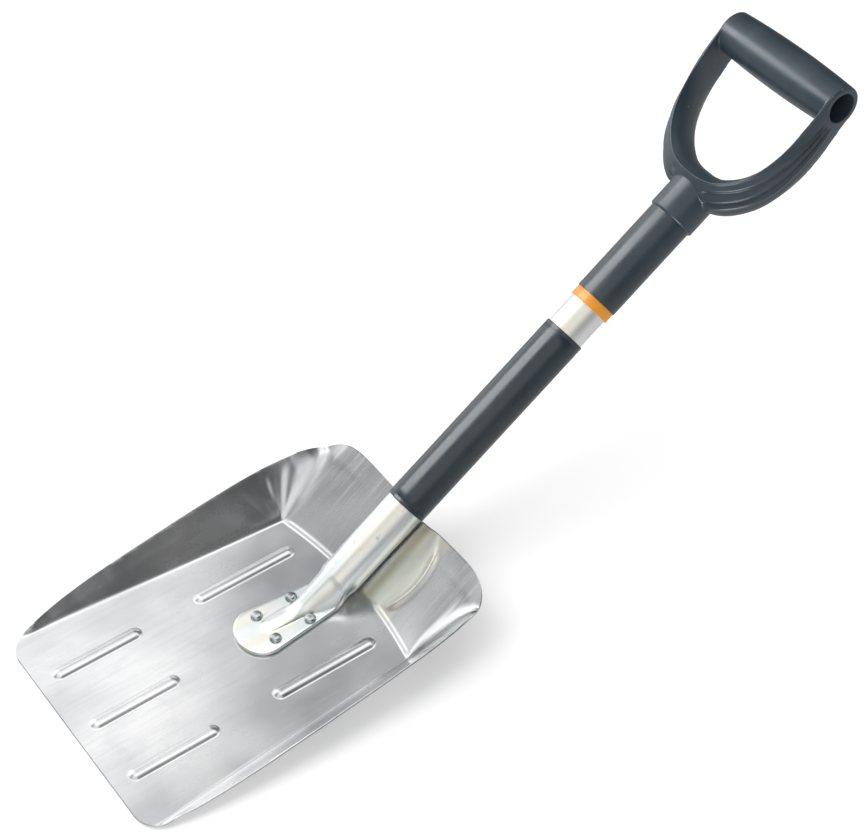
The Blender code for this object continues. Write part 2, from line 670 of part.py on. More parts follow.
# ---- twist lock --------------------------------------------------------
def build_lock(plastic, ring_mat, steel):
    """Plug with an off-centre spindle, split ring, washer and screw."""
    offset = (0.0, SPINDLE_OFFSET)
    low, high = RING_U
    bm = revolve(shaft_point, [(TUBE_BORE_R - GAP, TUBE_END_U - 22.0 * MM),
                               (TUBE_BORE_R - GAP, TUBE_END_U + GAP),
                               (TUBE_R - 0.6 * MM, TUBE_END_U + GAP),
                               (TUBE_R - 0.6 * MM, low - GAP)])
    obj = add_object("lock_spindle", bm, plastic)
    stub = revolve(shaft_point, [(SPINDLE_R, low - 2.0 * MM), (SPINDLE_R, high + GAP)],
                   count=28, centre=offset)
    apply_boolean(obj, add_object("stub", stub, None), "UNION")
    pilot = revolve(shaft_point, [(SCREW_R + GAP, high - 9.0 * MM), (SCREW_R + GAP, high + 4.0 * MM)],
                    count=16, centre=offset)
    apply_boolean(obj, add_object("pilot", pilot, None), "DIFFERENCE")
    finish_shading(obj)

    bm = revolve(shaft_point, [(RING_R - 0.8 * MM, low), (RING_R, low + 0.8 * MM),
                               (RING_R, high - 0.8 * MM), (RING_R - 0.8 * MM, high)])
    obj = add_object("lock_ring", bm, ring_mat)
    bore = revolve(shaft_point, [(RING_BORE_R, low - 3.0 * MM), (RING_BORE_R, high + 3.0 * MM)],
                   count=28, centre=offset)
    apply_boolean(obj, add_object("bore", bore, None), "DIFFERENCE")
    slot = bmesh.new()
    bmesh.ops.create_cube(slot, size=1.0)
    for vert in slot.verts:
        vert.co = shaft_point(vert.co.x * 2.4 * MM, -12.0 * MM + vert.co.y * 18.0 * MM,
                              0.5 * (low + high) + vert.co.z * 30.0 * MM)
    apply_boolean(obj, add_object("slot", slot, None), "DIFFERENCE")
    origin = shaft_point(0.0, 0.0, low)
    obj.data.transform(Matrix.Translation(-origin))
    obj.location = origin
    finish_shading(obj)

    base = high + 2.0 * GAP
    washer = [(SCREW_R + GAP, base), (WASHER_R, base), (WASHER_R, base + 1.2 * MM),
              (SCREW_R + GAP, base + 1.2 * MM)]
    add_object("lock_washer", revolve(shaft_point, washer, count=28, closed=True, centre=offset), steel)
    seat = base + 1.2 * MM + GAP
    screw = [(SCREW_R, high - 8.0 * MM), (SCREW_R, seat), (3.8 * MM, seat),
             (3.8 * MM, seat + 1.0 * MM), (2.4 * MM, seat + 2.2 * MM)]
    add_object("lock_screw", revolve(shaft_point, screw, count=20, centre=offset), steel)


def main():
    clear_scene()
    build_scoop(material("aluminium", (0.78, 0.79, 0.80), 0.28, 1.0))
    build_lower_tube(material("zinc_steel", (0.74, 0.75, 0.69), 0.34, 1.0))
    build_rivets(material("rivet_steel", (0.62, 0.65, 0.64), 0.3, 1.0))
    build_sleeve(material("sleeve_plastic", (0.075, 0.095, 0.11), 0.42, 0.0))
    build_bush(material("orange_plastic", (0.95, 0.34, 0.03), 0.38, 0.0))
    build_upper_tube(material("tube_coating", (0.07, 0.09, 0.105), 0.4, 0.0))
    build_handle(material("handle_plastic", (0.065, 0.085, 0.10), 0.45, 0.0))
    build_handle_screw(material("screw_steel", (0.5, 0.51, 0.52), 0.35, 1.0))
    build_lock(material("plug_plastic", (0.10, 0.10, 0.11), 0.5, 0.0),
               material("ring_plastic", (0.72, 0.72, 0.70), 0.5, 0.0),
               material("lock_steel", (0.55, 0.56, 0.57), 0.35, 1.0))


main()
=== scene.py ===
"""Looks for the camp shovel: materials, finer visible meshes, studio and camera."""
import math

import bmesh
import bpy
import numpy as np
from mathutils import Matrix, Vector


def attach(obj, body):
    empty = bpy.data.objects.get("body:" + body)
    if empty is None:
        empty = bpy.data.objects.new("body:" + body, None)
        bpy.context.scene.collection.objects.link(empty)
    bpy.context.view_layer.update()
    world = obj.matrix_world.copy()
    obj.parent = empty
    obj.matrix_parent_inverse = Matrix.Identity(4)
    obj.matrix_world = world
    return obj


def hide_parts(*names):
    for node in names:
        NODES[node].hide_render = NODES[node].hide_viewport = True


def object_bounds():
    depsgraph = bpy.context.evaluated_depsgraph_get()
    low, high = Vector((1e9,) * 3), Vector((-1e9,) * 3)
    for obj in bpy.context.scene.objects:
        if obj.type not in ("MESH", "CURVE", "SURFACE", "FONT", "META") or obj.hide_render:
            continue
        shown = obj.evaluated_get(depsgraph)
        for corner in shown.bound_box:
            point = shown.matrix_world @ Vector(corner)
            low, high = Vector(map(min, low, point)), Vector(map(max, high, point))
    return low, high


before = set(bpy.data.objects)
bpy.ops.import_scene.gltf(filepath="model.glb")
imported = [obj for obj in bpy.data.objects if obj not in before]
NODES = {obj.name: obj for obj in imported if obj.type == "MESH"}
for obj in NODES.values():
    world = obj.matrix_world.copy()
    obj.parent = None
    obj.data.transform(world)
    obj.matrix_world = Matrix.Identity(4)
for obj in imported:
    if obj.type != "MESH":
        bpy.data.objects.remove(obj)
CAD_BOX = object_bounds()

MM = 0.001
LIFT = math.radians(31.4)
SOCKET = Vector((0.0, 184.1 * MM, 54.1 * MM))
AXIS = Vector((0.0, math.cos(LIFT), math.sin(LIFT)))
RISE = Vector((0.0, -math.sin(LIFT), math.cos(LIFT)))


# ---- node helpers ------------------------------------------------------
class Shader:
    """A material's node tree with short calls for the nodes used here."""

    def __init__(self, name):
        self.mat = bpy.data.materials.new(name)
        self.mat.use_nodes = True
        self.tree = self.mat.node_tree
        self.bsdf = self.tree.nodes["Principled BSDF"]
        coord = self.tree.nodes.new("ShaderNodeTexCoord")
        self.coord = coord.outputs["Object"]

    def node(self, kind, **inputs):
        made = self.tree.nodes.new("ShaderNode" + kind)
        for key, value in inputs.items():
            self.put(made, key, value)
        return made

    def put(self, node, key, value):
        socket = node.inputs[int(key[1:])] if key[0] == "i" and key[1:].isdigit() else node.inputs[key]
        if isinstance(value, bpy.types.NodeSocket):
            self.tree.links.new(value, socket)
        else:
            socket.default_value = value

    def math(self, operation, a, b=0.0):
        made = self.node("Math", i0=a, i1=b)
        made.operation = operation
        return made.outputs[0]

    def times(self, a, b):
        return self.math("MULTIPLY", a, b)

    def plus(self, a, b):
        return self.math("ADD", a, b)

    def noise(self, scale, detail=4.0, rough=0.55, stretch=(1.0, 1.0, 1.0), turn=(0.0, 0.0, 0.0),
              warp=0.0):
        placed = self.node("Mapping", Vector=self.coord, Scale=stretch, Rotation=turn)
        made = self.node("TexNoise", Vector=placed.outputs[0], Scale=scale, Detail=detail, Roughness=rough,
                         Distortion=warp)
        return made.outputs[0]

    def ramp(self, value, low, high, out_low=0.0, out_high=1.0):
        """Smooth step of the value from low to high, which may run downwards."""
        made = self.node("MapRange", i0=value, i1=low, i2=high, i3=out_low, i4=out_high)
        made.interpolation_type = "SMOOTHSTEP"
        return made.outputs[0]

    def mix(self, factor, a, b):
        made = self.tree.nodes.new("ShaderNodeMix")
        made.data_type = "RGBA"
        for index, value in ((0, factor), (6, a), (7, b)):
            if isinstance(value, bpy.types.NodeSocket):
                self.tree.links.new(value, made.inputs[index])
            elif index == 0:
                made.inputs[0].default_value = value
            else:
                made.inputs[index].default_value = (*value, 1.0) if len(value) == 3 else value
        return made.outputs[2]

    def bump(self, height, distance, strength=1.0, chain=None):
        made = self.node("Bump", Height=height, Distance=distance, Strength=strength)
        if chain is not None:
            self.tree.links.new(chain, made.inputs["Normal"])
        return made.outputs[0]

    def set(self, **inputs):
        names = {"colour": "Base Color", "rough": "Roughness", "metal": "Metallic", "normal": "Normal",
                 "spec": "Specular IOR Level"}
        for key, value in inputs.items():
            if key == "colour" and isinstance(value, tuple):
                value = (*value, 1.0)
            self.put(self.bsdf, names[key], value)
        return self.mat


def dress(obj, mat):
    """Give a piece its material, in a single slot."""
    obj.data.materials.clear()
    obj.data.materials.append(mat)


# ---- materials ---------------------------------------------------------
def aluminium():
    """Bare pressed sheet: clouded, with drawn lines and scratches worn into the back wall; painted shade
    darkens it towards the rear, a painted cream reflection fills the dish beside the tube, and painted shade
    and reflection of the tube lie next to it.
    """
    s = Shader("aluminium_sheet")
    split = s.node("SeparateXYZ", Vector=s.coord)
    across, along = split.outputs[0], split.outputs[1]
    cloud = s.noise(9.0, 2.0, 0.5)
    fine = s.noise(60.0, 1.0, 0.5)
    streak = s.noise(34.0, 5.0, 0.62, stretch=(6.0, 0.35, 0.35))
    scuff = s.noise(120.0, 4.0, 0.65, stretch=(5.0, 0.16, 0.16))
    blotch = s.noise(38.0, 4.0, 0.6, stretch=(1.0, 0.7, 0.7), warp=0.4)
    hair = s.noise(420.0, 3.0, 0.6, stretch=(1.0, 0.04, 1.0), turn=(0.0, 0.0, 0.5))
    # masks: the back wall, the side walls, the dish beside the tube (with a painted cream reflection) and
    # the strip of painted shade and reflection next to the tube
    rear = s.ramp(along, 0.118, 0.175)
    side = s.ramp(s.math("ABSOLUTE", across), 0.084, 0.100)
    pocket = s.times(s.ramp(across, 0.012, 0.018), s.ramp(across, 0.052, 0.046))
    pocket = s.times(pocket, s.ramp(along, 0.126, 0.136))
    tube_shade_paint = s.times(pocket, s.ramp(across, 0.027, 0.018, 0.0, 0.7))
    worn = s.times(rear, s.math("SUBTRACT", 1.0, side))
    calm = s.math("SUBTRACT", 1.0, s.times(pocket, 0.85))
    back = s.ramp(along, -0.07, 0.08)
    lines = s.times(s.ramp(streak, 0.40, 0.75), s.plus(0.3, s.times(worn, 0.7)))
    lines = s.times(lines, calm)
    scratch = s.times(s.ramp(scuff, 0.52, 0.72), s.plus(0.02, s.times(worn, 0.6)))
    scratch = s.times(scratch, calm)
    hairline = s.ramp(hair, 0.62, 0.72)
    base = s.mix(s.ramp(cloud, 0.32, 0.66), (0.66, 0.675, 0.69), (0.97, 0.97, 0.975))
    # painted shade: the back ramp makes the sheet darker towards the rear
    base = s.mix(s.times(back, 0.30), base, (0.62, 0.635, 0.65))
    base = s.mix(s.ramp(blotch, 0.4, 0.75, 0.0, 0.35), base, (0.72, 0.73, 0.75))
    base = s.mix(s.times(lines, 0.45), base, (0.56, 0.57, 0.60))
    base = s.mix(s.times(scratch, 0.85), base, (1.0, 1.0, 1.0))
    base = s.mix(s.times(hairline, 0.18), base, (0.98, 0.98, 0.99))
    # painted reflection: the dish beside the tube is tinted cream-white
    base = s.mix(s.times(pocket, 0.9), base, (1.0, 0.975, 0.87))
    # painted shade and reflection of the tube: a dark olive strip in the dish next to it
    base = s.mix(tube_shade_paint, base, (0.50, 0.48, 0.38))
    rough = s.plus(s.ramp(cloud, 0.3, 0.75, 0.17, 0.26), s.times(lines, 0.12))
    rough = s.plus(rough, s.times(scratch, 0.08))
    rough = s.plus(rough, s.ramp(blotch, 0.4, 0.7, 0.0, 0.05))
    normal = s.bump(s.noise(16.0, 1.0, 0.4), 0.0014, 0.3)
    normal = s.bump(fine, 0.00012, 0.2, normal)
    normal = s.bump(hairline, 0.00002, 0.3, normal)
    return s.set(colour=base, rough=rough, metal=1.0, normal=normal)


def zinc():
    """Zinc plate: cool and clouded, yellowed in bands along the tube, with a painted cream reflection along
    the +X side of its top and small dark scars.
    """
    s = Shader("zinc_plate")
    across = s.node("SeparateXYZ", Vector=s.coord).outputs[0]
    cloud = s.noise(26.0, 4.0, 0.55)
    band = s.noise(34.0, 2.0, 0.5, stretch=(1.6, 0.35, 0.35), turn=(-LIFT, 0.0, 0.0))
    cool = s.mix(s.ramp(cloud, 0.36, 0.66), (0.84, 0.90, 0.905), (0.97, 0.97, 0.96))
    colour = s.mix(s.ramp(band, 0.50, 0.66, 0.0, 0.5), cool, (0.90, 0.87, 0.72))
    # painted reflection: a cream band across x from 1 to 14 mm, on the +X side of the tube's top
    cream_reflection_paint = s.times(s.ramp(across, 0.001, 0.006), s.ramp(across, 0.014, 0.008))
    cream_reflection_paint = s.times(cream_reflection_paint, s.ramp(cloud, 0.30, 0.60, 0.35, 0.9))
    colour = s.mix(cream_reflection_paint, colour, (0.90, 0.885, 0.77))
    scar = s.noise(210.0, 5.0, 0.7, stretch=(1.0, 0.35, 0.35), turn=(-LIFT, 0.0, 0.0), warp=0.6)
    marks = s.ramp(scar, 0.62, 0.72)
    colour = s.mix(s.times(marks, 0.5), colour, (0.45, 0.43, 0.36))
    rough = s.plus(s.ramp(cloud, 0.3, 0.7, 0.30, 0.40), s.times(marks, 0.15))
    normal = s.bump(s.noise(30.0, 1.0, 0.4), 0.0005, 0.2)
    normal = s.bump(marks, 0.00003, 0.5, normal)
    return s.set(colour=colour, rough=rough, metal=1.0, normal=normal)


def rivet_steel():
    s = Shader("rivet_steel")
    cloud = s.noise(60.0, 4.0, 0.6)
    colour = s.mix(s.ramp(cloud, 0.35, 0.65), (0.42, 0.46, 0.47), (0.62, 0.66, 0.66))
    normal = s.bump(s.noise(260.0, 3.0, 0.6), 0.00008, 0.5)
    return s.set(colour=colour, rough=s.ramp(cloud, 0.3, 0.7, 0.16, 0.3), metal=1.0, normal=normal)


def plastic(name, colour, light, rough, edge=0.0):
    """Moulded plastic or coating between two tones, with fine grain and, when edge is given, a painted
    highlight that makes the edges lighter.
    """
    s = Shader(name)
    cloud = s.noise(25.0, 4.0, 0.6)
    grain = s.noise(1500.0, 2.0, 0.5)
    tone = s.mix(s.ramp(cloud, 0.35, 0.7), colour, light)
    roughness = s.ramp(cloud, 0.3, 0.7, rough - 0.05, rough + 0.06)
    normal = s.bump(grain, 0.00003, 0.2)
    if edge:
        # painted highlight: edges, found by pointiness, are made lighter
        rim = s.ramp(s.node("NewGeometry").outputs["Pointiness"], 0.515, 0.60, 0.0, edge)
        tone = s.mix(rim, tone, (0.13, 0.15, 0.17))
    return s.set(colour=tone, rough=roughness, normal=normal, spec=0.55)


# ---- scoop -------------------------------------------------------------
SHEET = 1.5 * MM
RIB_HALF_W = 5.6 * MM
RIB_HEIGHT = 2.2 * MM
RIB_X = 57.7 * MM
RIBS = [(sx * RIB_X, 23.0 * MM, 112.0 * MM) for sx in (-1, 1)]
RIBS += [(sx * RIB_X, -101.0 * MM, -26.0 * MM) for sx in (-1, 0, 1)]
CREASE_Y = 123.0 * MM
FRONT_Y = -115.0 * MM
REAR_Y = 192.0 * MM
FRONT_FOLD_X = 107.5 * MM
REAR_FOLD_X = 88.5 * MM
WALL_RISE = 37.0 * MM
BACK_SLOPE = math.tan(math.radians(36.0))
CORNER_DROP = 0.22
CORNER_X = 113.0 * MM
DISH_EDGE = 25.0 * MM
CRADLE_R = 18.5 * MM
RIVET_HOLE_R = 2.7 * MM
RIM_INSET = 0.35 * MM
RIM_ROUND = 0.4 * MM
RIVETS = [(sx * 13.7 * MM, y) for y in (51.8 * MM, 83.1 * MM) for sx in (-1, 1)]
# radius of the front corners, in mm
CORNER_R = 22.0
# half width of the scoop along its length, in mm: (y, x)
SIDE_EDGE = [(-93.0, 110.0), (-77.0, 113.6), (-52.0, 116.2), (-24.0, 117.7), (28.0, 118.2),
             (78.0, 117.8), (118.0, 116.6), (148.0, 113.6), (166.0, 109.8), (177.0, 106.0),
             (185.0, 99.0), (189.6, 89.0), (191.5, 78.0), (192.0, 66.0)]


def smooth01(low, high, value):
    t = np.clip((value - low) / (high - low), 0.0, 1.0)
    return t * t * (3.0 - 2.0 * t)


def soft_max(a, b, blend):
    h = np.maximum(blend - np.abs(a - b), 0.0) / blend
    return np.maximum(a, b) + h * h * blend * 0.25


def soft_min(a, b, blend):
    return -soft_max(-a, -b, blend)


def edge_x(y):
    """Half width of the scoop at y."""
    table = np.array(SIDE_EDGE) * MM
    return np.interp(y, table[:, 0], table[:, 1])


def fold_x(y):
    """Where the floor, or the back wall, folds up into the side wall."""
    t = (y - FRONT_Y) / (CREASE_Y - FRONT_Y)
    side = FRONT_FOLD_X + (REAR_FOLD_X - FRONT_FOLD_X) * t
    return np.where(y > CREASE_Y, REAR_FOLD_X + (y - CREASE_Y) * 0.12, side)


def crease_y(x):
    """Where the floor folds up into the back wall, bowed towards the rear in the middle."""
    return CREASE_Y + 10.0 * MM * (1.0 - np.minimum(np.abs(x) / REAR_FOLD_X, 1.0) ** 2)


def recess_edge(y):
    """Half width of the dished middle of the back wall."""
    return (48.5 - 12.0 * ((y / MM - 161.0) / 30.0) ** 2) * MM


def back_height(x, y):
    """Back wall, lower in the dish (more so at +X) and towards the corners."""
    inside = 1.0 - smooth01(recess_edge(y) - DISH_EDGE, recess_edge(y), np.abs(x))
    drop = (0.038 + 0.027 * np.sign(x)) * inside + CORNER_DROP * (np.abs(x) / CORNER_X) ** 4
    return (y - crease_y(x)) * (BACK_SLOPE - drop)


def cradle_height(x, y):
    """Trough that keeps the sheet clear of the sleeve and tube; far above it elsewhere."""
    inner = np.sqrt(np.maximum(CRADLE_R ** 2 - x ** 2, 1e-12))
    axis_z = SOCKET.z + (y - SOCKET.y) * math.tan(LIFT)
    return np.where(np.abs(x) < CRADLE_R, axis_z - inner / math.cos(LIFT) - SHEET, 1.0)


def wall_height(x, y):
    """Side wall, from the fold line to the rim. The rim rises from the front to the crease."""
    along = (y - FRONT_Y) / (CREASE_Y - FRONT_Y)
    rear = 0.965 + 0.06 * smooth01(CREASE_Y, 155.0 * MM, y) - 0.13 * smooth01(162.0 * MM, REAR_Y, y)
    top = np.where(along < 1.0, 1.22 * along - 0.255 * along ** 2, rear)
    inner_x = fold_x(y)
    inner_z = np.maximum(back_height(inner_x, y), 0.0)
    outer_x = np.maximum(edge_x(y), inner_x + 4.5 * MM)
    least = 0.35 - 0.2 * smooth01(145.0 * MM, 178.0 * MM, y)
    slope = np.maximum((WALL_RISE * top - inner_z) / (outer_x - inner_x), least)
    return inner_z + (np.abs(x) - inner_x) * slope


def rib_height(x, y):
    total = np.zeros_like(x)
    for rib_x, y0, y1 in RIBS:
        nearest = np.clip(y, y0 + RIB_HALF_W, y1 - RIB_HALF_W)
        r = np.hypot(x - rib_x, y - nearest) / RIB_HALF_W
        total += RIB_HEIGHT * soft_max(1.0 - r ** 2.0, 0.0 * r, 0.34) * (r < 1.3)
    return total


def bead(distance, half_w, height):
    return height * np.exp(-(distance / half_w) ** 2)


def scoop_height(x, y):
    """Under face of the whole scoop: floor, back wall, side walls, beads, ribs and folds."""
    back = soft_min(back_height(x, y), cradle_height(x, y), 2.0 * MM)
    z = soft_max(0.0 * x, back, 2.0 * MM)
    ax = np.abs(x)
    dish_lip = bead(x - recess_edge(y), 3.0 * MM, 1.35 * MM) * smooth01(134.0 * MM, 142.0 * MM, y)
    dish_lip = dish_lip * (1.0 - smooth01(176.0 * MM, 187.0 * MM, y))
    wall = wall_height(x, y)
    on_wall = smooth01(0.0, 5.0 * MM, wall - z)
    blend = (1.3 + 2.0 * smooth01(-0.115, -0.02, y) + 6.0 * smooth01(0.118, 0.142, y)) * MM
    z = soft_max(z + dish_lip * (1.0 - on_wall), wall, blend)
    away = smooth01(24.0 * MM, 32.0 * MM, ax) * (1.0 - smooth01(80.0 * MM, 88.0 * MM, ax))
    z = z + bead(y - crease_y(x) - 0.5 * MM, 1.5 * MM, 0.5 * MM) * away
    return z + wrinkles(x, y) * on_wall + rib_height(x, y) + sheet_sag(x, y)


def wrinkles(x, y):
    """Folds that fan out of the rear corners where the sheet was gathered into the side walls."""
    dx, dy = np.abs(x) - 84.0 * MM, y - 118.0 * MM
    reach = np.hypot(dx, dy)
    turn = np.arctan2(dx, -dy)
    fan = np.sin(11.0 * turn + 1.1 * np.sin(3.1 * turn + np.sign(x))) + 0.35 * np.sin(24.0 * turn + 0.7)
    strength = smooth01(6.0 * MM, 24.0 * MM, reach) * (1.0 - smooth01(34.0 * MM, 66.0 * MM, reach))
    return 0.21 * MM * fan * strength * smooth01(1.0 * MM, 9.0 * MM, edge_x(y) - np.abs(x))


def sheet_sag(x, y):
    """Slow waviness of the pressed sheet; nothing at the origin's mounting face."""
    wave = np.sin(y / MM * 0.031 + 0.6) * np.cos(x / MM * 0.036 + 0.4)
    wave += 0.5 * np.sin(x / MM * 0.058 - y / MM * 0.04)
    return 0.16 * MM * wave * smooth01(14.0 * MM, 40.0 * MM, np.hypot(x, y))


def stops(pairs):
    """Grid lines between (position, step) stops; each step holds up to the next stop."""
    lines = []
    for (a, step), (b, _) in zip(pairs, pairs[1:]):
        count = max(1, int(round((b - a) / step)))
        lines += [a + (b - a) * i / count for i in range(count)]
    return np.array(lines + [pairs[-1][0]])


def scoop_grid():
    """Fine grid, closest at the ribs and folds. Columns move with the fold line."""
    inner = stops([(0.0, 0.62), (7.0, 1.6), (50.5, 0.62), (65.0, 1.5), (78.0, 1.5)])
    outer = stops([(-10.5, 0.8), (8.0, 1.4), (36.0, 1.4)])
    rows = stops([(-119.0, 1.4), (-103.0, 0.62), (-94.0, 2.2), (-33.0, 0.62), (-24.0, 2.0),
                  (21.0, 0.62), (30.0, 2.2), (105.0, 0.62), (113.0, 0.8), (140.0, 1.5), (197.0, 1.5)]) * MM
    fold = fold_x(rows)[:, None]
    near = np.repeat(inner[None, :] * MM, len(rows), 0)
    far = fold + outer[None, :] * MM
    span = (far[:, :1] - near[:, -1:])
    steps = 9
    gap = near[:, -1:] + span * (np.arange(1, steps) / steps)[None, :]
    half = np.concatenate([near, gap, far], 1)
    xs = np.concatenate([-half[:, :0:-1], half], 1)
    return xs, np.repeat(rows[:, None], xs.shape[1], 1)


def scoop_outline():
    """Dense, smooth outline as a closed loop of points, in metres."""
    front, rear, front_half_w = FRONT_Y / MM, REAR_Y / MM, SIDE_EDGE[0][1]
    points = [(0.0, front), (50.0, front)]
    for i in range(13):
        angle = math.radians(-90.0 + 90.0 * i / 12)
        points.append((front_half_w - CORNER_R * (1.0 - math.cos(angle)),
                       front + CORNER_R * (1.0 + math.sin(angle))))
    points += [(x, y) for y, x in SIDE_EDGE[1:]]
    points += [(40.0, rear), (0.0, rear)]
    loop = np.array(points + [(-x, y) for x, y in points[-2:0:-1]])
    for _ in range(2):
        ahead = np.roll(loop, -1, 0)
        loop = np.stack([0.75 * loop + 0.25 * ahead, 0.25 * loop + 0.75 * ahead], 1).reshape(-1, 2)
    return loop * MM


def nearest_on_loop(points, loop):
    """For each point: the closest place on the closed loop, and its signed distance (inside < 0)."""
    a, b = loop, np.roll(loop, -1, 0)
    ab = b - a
    ap = points[:, None, :] - a[None]
    t = np.clip((ap * ab).sum(2) / (ab * ab).sum(1), 0.0, 1.0)
    close = a[None] + ab[None] * t[..., None]
    dist = np.linalg.norm(points[:, None, :] - close, axis=2)
    pick = dist.argmin(1)
    rows = np.arange(len(points))
    normal = np.stack([ab[:, 1], -ab[:, 0]], 1)
    side = (ap[rows, pick] * normal[pick]).sum(1)
    return close[rows, pick], dist[rows, pick] * np.sign(side)


def boundary_loops(faces):
    """Ordered loops of vertex numbers round the edges that only one face uses."""
    seen = {}
    for face in faces:
        for a, b in zip(face, face[1:] + face[:1]):
            seen[(a, b)] = True
    follow = {a: b for a, b in seen if (b, a) not in seen}
    loops = []
    while follow:
        start, after = follow.popitem()
        loop = [start]
        while after != start:
            loop.append(after)
            after = follow.pop(after)
        loops.append(loop)
    return loops


def sheet_point(points, depth):
    """Points on the sheet at a depth below its upper face."""
    d = 0.05 * MM
    x, y = points[:, 0], points[:, 1]
    z = scoop_height(x, y)
    gx = (scoop_height(x + d, y) - scoop_height(x - d, y)) / (2 * d)
    gy = (scoop_height(x, y + d) - scoop_height(x, y - d)) / (2 * d)
    normal = np.stack([-gx, -gy, np.ones_like(gx)], 1)
    normal /= np.linalg.norm(normal, axis=1, keepdims=True)
    return np.stack([x, y, z + SHEET], 1) - normal * depth


def trimmed_grid(outline):
    """The grid's points and quads that lie inside the outline and outside the rivet holes."""
    xs, ys = scoop_grid()
    rows, cols = xs.shape
    flat = np.stack([xs.ravel(), ys.ravel()], 1)
    index = np.arange(rows * cols).reshape(rows, cols)
    quads = np.stack([index[:-1, :-1], index[:-1, 1:], index[1:, 1:], index[1:, :-1]], -1).reshape(-1, 4)
    centres = flat[quads].mean(1)
    keep = np.ones(len(quads), bool)
    near_rim = np.abs(centres[:, 0]) > edge_x(centres[:, 1]) - 30.0 * MM
    near_rim |= (centres[:, 1] < -100.0 * MM) | (centres[:, 1] > 165.0 * MM)
    number = np.where(near_rim)[0]
    for chunk in np.array_split(number, max(1, len(number) // 4000)):
        _, signed = nearest_on_loop(centres[chunk], outline)
        keep[chunk] = signed < -RIM_INSET
    for hole_x, hole_y in RIVETS:
        keep &= np.hypot(centres[:, 0] - hole_x, centres[:, 1] - hole_y) > RIVET_HOLE_R
    used, quads = np.unique(quads[keep], return_inverse=True)
    return flat[used], quads.reshape(-1, 4).tolist()


def fit_rim(flat, rim, outline):
    """Move the rim's points to just inside the outline; returns their outward directions."""
    on_edge, signed = nearest_on_loop(flat[rim], outline)
    away = (flat[rim] - on_edge) * np.where(signed > 0, 1.0, -1.0)[:, None]
    away /= np.maximum(np.linalg.norm(away, axis=1, keepdims=True), 1e-9)
    flat[rim] = on_edge - away * RIM_INSET
    return away


def fit_hole(flat, loop):
    """Make a hole's loop round, about the nearest rivet."""
    ring = np.array(loop)
    gap = [np.hypot(flat[ring, 0].mean() - x, flat[ring, 1].mean() - y) for x, y in RIVETS]
    centre = np.array(RIVETS[int(np.argmin(gap))])
    spoke = flat[ring] - centre
    flat[ring] = centre + spoke / np.linalg.norm(spoke, axis=1, keepdims=True) * RIVET_HOLE_R


def build_blade():
    """The sheet as one closed shell: both faces, a rounded rim and four rivet holes."""
    outline = scoop_outline()
    flat, faces = trimmed_grid(outline)
    loops = sorted(boundary_loops(faces), key=len, reverse=True)
    rim = np.array(loops[0])
    away = fit_rim(flat, rim, outline)
    for loop in loops[1:]:
        fit_hole(flat, loop)
    edge = flat[rim] + away * RIM_INSET
    verts = np.concatenate([sheet_point(flat, 0.0), sheet_point(flat, SHEET),
                            sheet_point(edge, RIM_ROUND), sheet_point(edge, SHEET - RIM_ROUND)])
    count, around = len(flat), len(rim)
    faces += [[v + count for v in reversed(face)] for face in faces]
    chain = [list(rim), [2 * count + i for i in range(around)],
             [2 * count + around + i for i in range(around)], [v + count for v in rim]]
    for above, below in zip(chain, chain[1:]):
        for i in range(around):
            j = (i + 1) % around
            faces.append([above[j], above[i], below[i], below[j]])
    for loop in loops[1:]:
        for a, b in zip(loop, loop[1:] + loop[:1]):
            faces.append([b, a, a + count, b + count])
    return mesh_piece("blade_sheet", verts, faces, 40.0)


def mesh_piece(name, verts, faces, sharp_angle=None):
    """A new smooth-shaded object; edges sharper than the angle, in degrees, stay crisp."""
    mesh = bpy.data.meshes.new(name)
    mesh.from_pydata([tuple(map(float, v)) for v in verts], [], faces)
    mesh.validate()
    mesh.shade_smooth()
    if sharp_angle is not None:
        mesh.set_sharp_from_angle(angle=math.radians(sharp_angle))
    obj = bpy.data.objects.new(name, mesh)
    bpy.context.scene.collection.objects.link(obj)
    return obj


# ---- tube and foot -----------------------------------------------------
TUBE_R = 16.0 * MM
TUBE_BORE_R = 14.5 * MM
TUBE_END_U = 271.0 * MM
FOOT_TIP_Y = 27.0 * MM
FOOT_PLATE = 3.2 * MM
GAP = 0.3 * MM
SLEEVE_R = 17.3 * MM
SLEEVE_LENGTH = 180.2 * MM
BUSH_R = 17.45 * MM
BUSH_LOW = 206.6 * MM
BUSH_RIM = 8.1 * MM
SPIGOT_R = 17.0 * MM
SPIGOT_LENGTH = 14.0 * MM
UPPER_LOW = 215.0 * MM
UPPER_BORE_R = 17.25 * MM
SCREW_STATION = 312.0 * MM
# the foot's rounded tip, its half width there and its whole run, in mm
FOOT_TAPER, FOOT_HALF_W, FOOT_END = 20.0, 24.0, 102.1
# run from the tip, lean share, half width, ridge half width, roundness (lengths in mm)
FOOT_STATIONS = [
    (0.0, 0.0, 3.0, 0.6, 0.0), (20.0, 0.0, 24.0, 0.9, 0.0), (21.6, 0.0, 23.9, 3.4, 0.0),
    (24.0, 0.0, 23.6, 5.4, 0.0), (30.0, 0.0, 22.9, 6.1, 0.0), (40.0, 0.0, 21.7, 6.8, 0.0),
    (50.0, 0.0, 20.6, 7.4, 0.0), (56.0, 0.0, 19.9, 7.9, 0.0), (62.0, 0.04, 19.2, 9.2, 0.0),
    (70.0, 0.18, 18.3, 11.6, 0.0), (78.0, 0.36, 17.4, 13.8, 0.03), (84.0, 0.50, 16.8, 15.2, 0.18),
    (88.0, 0.61, 16.4, 15.8, 0.50), (93.0, 0.75, 16.1, 16.0, 0.84), (98.0, 0.90, 16.0, 16.0, 0.98),
    (FOOT_END, 1.0, 16.0, 16.0, 1.0)]


def shaft_point(x, e, u):
    """Point in the shaft's frame: x across, e above the axis and u along it from the socket."""
    return SOCKET + Vector((x, 0.0, 0.0)) + RISE * e + AXIS * u


